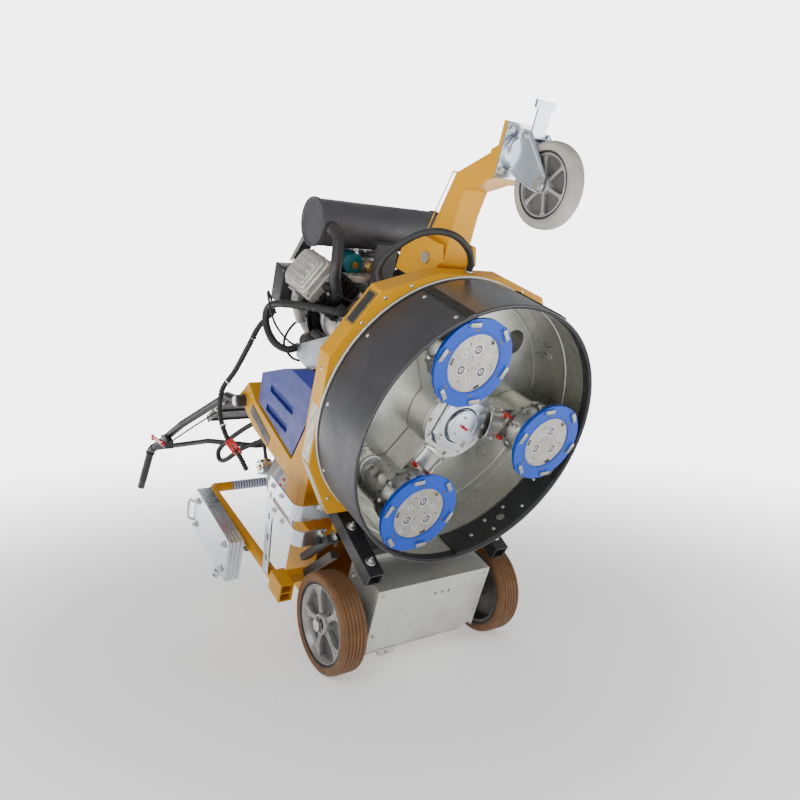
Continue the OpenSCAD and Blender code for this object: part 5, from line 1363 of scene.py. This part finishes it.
# blank badge: dark plate with a thin plain border
mb = T(-297, -230.5, 306.5) @ Matrix(((0.52, 0, 0, 0), (-0.854, 0, 0, 0), (0, 0, 0, 0), (0, 0, 0, 1)))
pu = Vector((0.52, -0.854, 0)); pv0 = Vector((0.591, 0.377, 0.713))
pn = pu.cross(pv0).normalized(); pv = pn.cross(pu)
mb = Matrix(((pu.x, pv.x, pn.x, -297), (pu.y, pv.y, pn.y, -230.5), (pu.z, pv.z, pn.z, 306.5), (0, 0, 0, 1)))
for a, b in (((-61, -24.5), (61, -23)), ((-61, 23), (61, 24.5)), ((-61, -24.5), (-59.5, 24.5)), ((59.5, -24.5), (61, 24.5))):
    p.box((a[0], a[1], 3.2), (b[0], b[1], 3.75), "yellow_line", mb, 0.15, 1)
for a in (-56, 56):
    for b in (-19, 19):
        p.lathe([(0, 1.0), (1.8, 0.8), (2.6, 0)], "bolt", mb @ T(a, b, 3.4), 16)
for s in (-1, 1):
    mq = T(s * 298.4, 306, 716) @ R(14, "X")
    for k in range(5):
        p.box((-0.4, -11, -66 + 28 * k), (0.4, 11, -48 + 28 * k), "black_plastic", mq, 0.3, 1)
p.done()

# ------------------------------------------------------------------ tank
p = Piece("tank_mouldings", "machine", "blue_tank")
for s in (-1, 1):
    for y0 in (159, 231):
        z0, z1 = (520, 690) if y0 < 200 else (540, 700)
        # rounded lips on both sides of each moulded groove
        for dy in (-11.5, 11.5):
            p.tube([(s * 291.2, y0 + dy, z0 + 4), (s * 291.6, y0 + dy, (z0 + z1) / 2), (s * 291.2, y0 + dy, z1 - 4)], 2.3, "blue_tank", I4, 12, 6)
# moulded parting line and the filler ring
p.lathe([(30.2, 764), (34, 766), (34.6, 769), (34.6, 775), (33, 777), (30.2, 777)], "blue_tank", T(-120, 190, 0), 56)
p.tube([(-251, 66, 600), (-180, 60.5, 600), (0, 60.5, 600)], 1.2, "blue_tank", I4, 8, 4)
p.done()

p = Piece("tank_cap_grip", "cap", "black_plastic")
pts = []
for j in range(120):
    a = 2 * math.pi * j / 120
    r_ = 34.6 + 1.3 * (1 if math.cos(20 * a) > 0 else 0)
    pts.append((r_ * math.cos(a), r_ * math.sin(a)))
mc = T(-120, 190, 782.5)
p.poly(pts, 0.2, 18, "black_plastic", mc, 0.6, 1)
p.lathe([(33, 17.6), (32.6, 20.6), (30, 21.6), (22, 21.2), (20, 19.8), (0, 19.8)], "black_plastic", mc, 72)
p.poly(rrect(29.5, 5, 4.6), 19, 27.6, "black_plastic", mc, 2.2, 3)
p.lathe([(23.4, 0.2), (23.4, -16), (21.5, -17.6), (0, -17.6)], "black_plastic", mc, 48)
p.done(["tank_cap"])

# ------------------------------------------------------------------ castor, arm
p = Piece("castor_swivel_details", "castor", "zinc")
msw = T(0, -717, 0)
p.lathe([(46.2, 140.2), (47.4, 142), (47.4, 146.2), (45.6, 147.6), (44.6, 150), (46.6, 152), (47.6, 155), (46.8, 158.4), (44.6, 160.4), (42, 161.3)], "zinc_bright", msw, 96)
p.lathe([(44.4, 149), (43.4, 150.4), (44.4, 151.6)], "dark_steel", msw, 96)
for s in (-1, 1):
    # pressed ribs and curled edges on the fork legs
    p.tube([(s * 31.2, -764, 112), (s * 31.3, -700, 40), (s * 31.2, -690, 24)], 2.2, "zinc_bright", I4, 12, 8)
    p.tube([(s * 31.2, -676, 140), (s * 31.3, -658, 80), (s * 31.2, -652, 40)], 2.2, "zinc_bright", I4, 12, 8)
    p.lathe([(8, 0), (15, 0), (16, 1), (15, 2.4), (8, 2.4)], "bolt", T(s * 31.2, -668, 34) @ R(90 * s, "Y"), 32)
    p.hexb((s * 31, -760, 122), (s, 0, 0), 11, 5, "bolt")
p.done()

p = Piece("castor_plate_details", "transport_arm", "zinc")
for x in (-42, 42):
    for y in (-765, -669):
        p.hexb((x, y, 162), (0, 0, -1), 15, 6, "bolt", I4, True, 2)
        p.lathe([(8, 0), (12.5, 0), (13.2, 0.8), (12.5, 1.8), (8, 1.8)], "bolt", T(x, y, 176), 28)
        p.lathe([(0, 9), (4.2, 9), (4.2, 15), (3.4, 16), (0, 16)], "bolt", T(x, y, 176), 20)
p.lathe([(0, 170), (13, 170), (15.5, 168.2)], "bolt", T(0, -717, 7), 32)
# weld fillets at the bend of the arm and round the pivot boss
for s in (-1, 1):
    p.tube([(s * 50.2, -453, 390), (s * 50.2, -540, 363), (s * 50.2, -627, 335)], 1.6, "yellow_paint", I4, 10, 6)
    p.lathe([(38, 0), (38.6, 1.6), (40, 2.0), (41.4, 1.6), (42, 0)], "yellow_paint", T(s * 50.0, -395, 345) @ R(90 * s, "Y"), 56)
p.tube([(-48, -628, 337), (0, -628.6, 337.4), (48, -628, 337)], 2.0, "yellow_paint", I4, 10, 6)
p.done()

p = Piece("brake_tread", "brake", "steel")
for k in range(5):
    p.box((-24 + 12 * k - 2, -840, 120), (-24 + 12 * k + 2, -826, 121.4), "zinc_bright", I4, 0.6)
p.done()

# ------------------------------------------------------------------ weights
p = Piece("weight_fittings", "machine", "zinc")
for s in (-1, 1):
    for y in (640, 735):
        for z in (540, 795):
            p.hexb((s * 444.2, y, z), (s, 0, 0), 16, 8, "bolt", I4, True, 4)
    # lifting bow on the outer plate
    p.tube([(s * 446, 664, 826), (s * 455, 664, 846), (s * 455, 700, 856), (s * 455, 736, 846), (s * 446, 736, 826)], 4.2, "bolt", I4, 14, 8)
    # hanger hooks over the cage post, with their clamp screws
    for z in (572, 782):
        p.lathe([(17.6, -16), (21.4, -15), (21.4, 15), (17.6, 16)], "zinc_bright", T(s * 350, 662 + 0.063 * (z - 300), z) @ R(-3.6, "X"), 48)
        p.box((s * 369, 668, z - 13), (s * 392, 690, z - 8), "zinc_bright", I4, 1.2)
        p.box((s * 369, 668, z + 9), (s * 392, 690, z + 14), "zinc_bright", I4, 1.2)
        p.hexb((s * 380, 655, z), (0, -1, 0), 12, 6, "bolt", I4, True, 8)
    for xx in (388, 446):
        p.hexb((s * xx, 783, 569), (0, 1, 0), 14, 7, "bolt", I4, True, 4)
p.done()

# ------------------------------------------------------------------ handle and console
p = Piece("grips_and_levers", "handle", "rubber")
for s in (-1, 1):
    a, b = Vector((s * 446.5, 770, 1358.1)), Vector((s * 464.5, 900, 1365.3))
    p.tube([a, (a + b) / 2, b], 14.1, "rubber", I4, 28, 60, lambda q: 1.0 + (0.045 if (q % 6.5) < 4 else 0.0))
    rot = (b - a).to_track_quat("Z", "Y").to_matrix().to_4x4()
    p.lathe([(14.2, -6), (17.6, -5), (18.2, -3), (18.2, 1), (16.8, 2.5)], "rubber", T(a) @ rot, 40)
    # clamp under each bar with its screws, and the cable adjuster
    for zz in (1216, 1256):
        dome(p, (s * 440.2, 651, zz), (s, 0, 0), 3.6)
    p.tube([(s * 424, 640, 1208), (s * 400, 600, 1180), (s * 360, 520, 1120), (s * 310, 440, 1064)], 3.2, "rubber", I4, 12, 8)
    # collars where the bowed brace meets the bars
    p.lathe([(14.2, -12), (16.4, -11), (16.4, 11), (14.2, 12)], "black_paint", T(s * 441, 742, 1345) @ Vector((s * 57, 208, 171)).to_track_quat("Z", "Y").to_matrix().to_4x4(), 40)
p.done()

p = Piece("console_controls", "handle", "black_plastic")
mk = T(0, 345, 986) @ R(44.4, "X")
p.poly([(-142, 68), (142, 68), (142, 192), (-142, 192)], 57.6, 60.2, "grey_plaque", mk, 1.6, 2)
p.poly(rrect(52, 30, 4), 60, 63, "black_plastic", mk @ T(-66, 130, 0), 1.2, 2)
p.poly(rrect(46, 24, 2), 62.6, 63.4, "teal_plastic", mk @ T(-66, 130, 0), 0.3, 1)
p.lathe([(0, 60), (15, 60), (16, 62), (16, 64), (10, 66), (10, 72), (19, 75), (20.5, 79), (18, 83.5), (9, 86), (0, 86.4)], "red_plastic", mk @ T(108, 160, 0), 44)
p.lathe([(17, 60.1), (25, 60.4), (25, 61.2), (17, 61.6)], "yellow_line", mk @ T(108, 160, 0), 44)
for k in range(3):
    c = mk @ T(20 + 32 * k, 96, 0)
    p.poly(rrect(10, 14, 2.4), 60, 63.4, "black_plastic", c, 1.0, 2)
    p.poly(rrect(7, 11, 1.6), 62.8, 68, "black_plastic" if k else "red_plastic", c @ R(9, "X"), 1.4, 2)
for k in range(2):
    c = mk @ T(24 + 34 * k, 152, 0)
    p.lathe([(0, 60), (13, 60), (13, 61.6), (10.5, 63), (9.6, 73), (8.4, 75), (0, 75.2)], "black_plastic", c, 28)
    p.box((-1, 2, 74.8), (1, 9, 75.8), "white_plastic", c, 0.3, 1)
p.lathe([(0, 61), (9, 61), (10, 63), (8.6, 65), (5, 65.4), (4.6, 63), (0, 63)], "bolt", mk @ T(108, 96, 0), 28)
for a in (-136, 136):
    for b in (74, 186):
        p.lathe([(0, 62.4), (2.4, 62.2), (4.2, 61), (4.6, 60.2)], "bolt", mk @ T(a, b, 0), 20)
for s in (-1, 1):
    for b in (40, 120, 200):
        p.hexb((s * 306.1, b, 0), (s, 0, 0), 11, 5, "bolt", mk)
    p.poly(rrect(44, 28, 5), 4, 5.0, "grey_plaque", mk @ T(s * 226, 110, 0), 0.4, 1)
# stiffening folds under the plate
for b in (14, 126, 238):
    p.box((-292, b - 3, -10), (292, b + 3, -4), "black_plastic", mk, 1.6)
p.cyl((-60, 60, 30), (-60, 36, 30), 11, "black_plastic", mk, 28, 2)
p.cyl((60, 60, 30), (60, 36, 30), 11, "black_plastic", mk, 28, 2)
p.done()

# ------------------------------------------------------------------ mount rails
p = Piece("rail_bolts", "machine", "zinc")
for s in (-1, 1):
    for y in (-160, -60, 20):
        p.hexb((s * (262 + 5), y, 382), (s, 0, 0), 13, 7, "bolt", I4, True, 3)
        p.hexb((s * 262 + s * 14, y - 20, 358), (0, 0, 1), 13, 7, "bolt", I4, True, 3)
    for y, z in ((20, 420), (-60, 400), (20, 520), (-100, 392)):
        p.hexb((s * 244.2, y - 4, z), (s, 0, 0), 12, 6, "bolt", I4, True, 3)
p.done()
# === pieces end ===

# ------------------------------------------------------------------ floor, light, camera
fm = bpy.data.meshes.new("floor")
S = 9.0
fm.from_pydata([(-S, -S, 0), (S, -S, 0), (S, S, 0), (-S, S, 0)], [], [(0, 1, 2, 3)])
floor = bpy.data.objects.new("floor", fm)
bpy.context.scene.collection.objects.link(floor)
ft = NT("pale_glowing_floor")
fcol = ft.mix(ft.maprange(ft.noise(0.7, 4), 0.3, 0.7, 0, 1), (0.90, 0.90, 0.90), (0.93, 0.93, 0.93))
# painted light: the floor glows through its emission, faintly near the middle and strongly further out, and shines onto
# the object like a lamp
floor_glow_distance = ft.n("ShaderNodeVectorMath", operation="LENGTH")
ft.link(ft.tc, floor_glow_distance.inputs[0])
floor_glow_ramp = ft.n("ShaderNodeMapRange", interpolation_type="SMOOTHSTEP")
for i_, x_ in enumerate((0.7, 4.2, 0.45, 4.2)):
    floor_glow_ramp.inputs[i_ + 1].default_value = x_
ft.link(floor_glow_distance.outputs["Value"], floor_glow_ramp.inputs[0])
ft.b.inputs["Emission Color"].default_value = (1.0, 1.0, 1.0, 1)
# painted light: the floor's emission strength grows with distance from the middle
ft.link(floor_glow_ramp.outputs[0], ft.b.inputs["Emission Strength"])
fm.materials.append(ft.set(fcol, ft.maprange(ft.noise(3, 4), 0.3, 0.7, 0.55, 0.7), 0.0, ft.bump(ft.noise(120, 3), 0.0002, 0.4)))
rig.stage(floor)

world = bpy.data.worlds.new("studio")
bpy.context.scene.world = world
world.use_nodes = True
wt = world.node_tree
bg = wt.nodes["Background"]
# bright room: pale all round, brighter overhead, a darker band near the horizon behind the camera gives metal something to reflect
wc = wt.nodes.new("ShaderNodeTexCoord")
wsx = wt.nodes.new("ShaderNodeSeparateXYZ")
wr = wt.nodes.new("ShaderNodeValToRGB")
wmr = wt.nodes.new("ShaderNodeMapRange")
wmr.inputs[1].default_value, wmr.inputs[2].default_value = -1.0, 1.0
wt.links.new(wc.outputs["Generated"], wsx.inputs[0])
wt.links.new(wsx.outputs["Z"], wmr.inputs[0])
wt.links.new(wmr.outputs[0], wr.inputs[0])
els = wr.color_ramp.elements
els[0].position, els[0].color = 0.0, (0.75, 0.75, 0.76, 1)
els[1].position, els[1].color = 1.0, (1.0, 1.0, 1.0, 1)
for pos, c in ((0.47, 0.82), (0.53, 0.80), (0.68, 0.90)):
    x = els.new(pos)
    x.color = (c, c, c * 1.01, 1)
wt.links.new(wr.outputs[0], bg.inputs[0])
bg.inputs[1].default_value = 0.55
# the backdrop itself is bright; the room light that reaches the object stays soft
bd = wt.nodes.new("ShaderNodeBackground")
bd.inputs[0].default_value = (1.0, 1.0, 1.0, 1)
bd.inputs[1].default_value = 5.0
wl = wt.nodes.new("ShaderNodeLightPath")
wm = wt.nodes.new("ShaderNodeMixShader")
wt.links.new(wl.outputs["Is Camera Ray"], wm.inputs[0])
wt.links.new(bg.outputs[0], wm.inputs[1])
wt.links.new(bd.outputs[0], wm.inputs[2])
wt.links.new(wm.outputs[0], wt.nodes["World Output"].inputs["Surface"])


def area(name, loc, target, size, power, color=(1, 1, 1)):
    ld = bpy.data.lights.new(name, "AREA")
    ld.shape = "RECTANGLE"
    ld.size, ld.size_y = size
    ld.energy = power
    ld.color = color
    lo = bpy.data.objects.new(name, ld)
    lo.location = loc
    lo.rotation_euler = (Vector(target) - Vector(loc)).to_track_quat("-Z", "Y").to_euler()
    bpy.context.scene.collection.objects.link(lo)
    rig.stage(lo)


area("key_softbox", (-2.6, -1.6, 3.0), (0, 0, 0.6), (1.6, 1.6), 34)
area("fill_softbox", (2.4, -2.6, 1.8), (0, -0.2, 0.7), (2.0, 1.4), 13)
area("back_softbox", (0.8, 2.6, 2.8), (0, 0, 0.8), (2.0, 1.2), 22)

cd = bpy.data.cameras.new("camera")
cam = bpy.data.objects.new("camera", cd)
cam.location = (-1.2695, -2.1406, 0.9694)
cam.rotation_euler = (math.radians(83.661), 0, math.radians(-34.739))
cd.sensor_width = 36
cd.lens = 33.03
cd.shift_x, cd.shift_y = -0.0104, 0.0241
cd.dof.use_dof = False
bpy.context.scene.collection.objects.link(cam)
bpy.context.scene.camera = cam
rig.stage(cam)

json.dump({"cad": CAD_BOUNDS, "final": [list(v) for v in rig.bounds()]}, open("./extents.json", "w"))
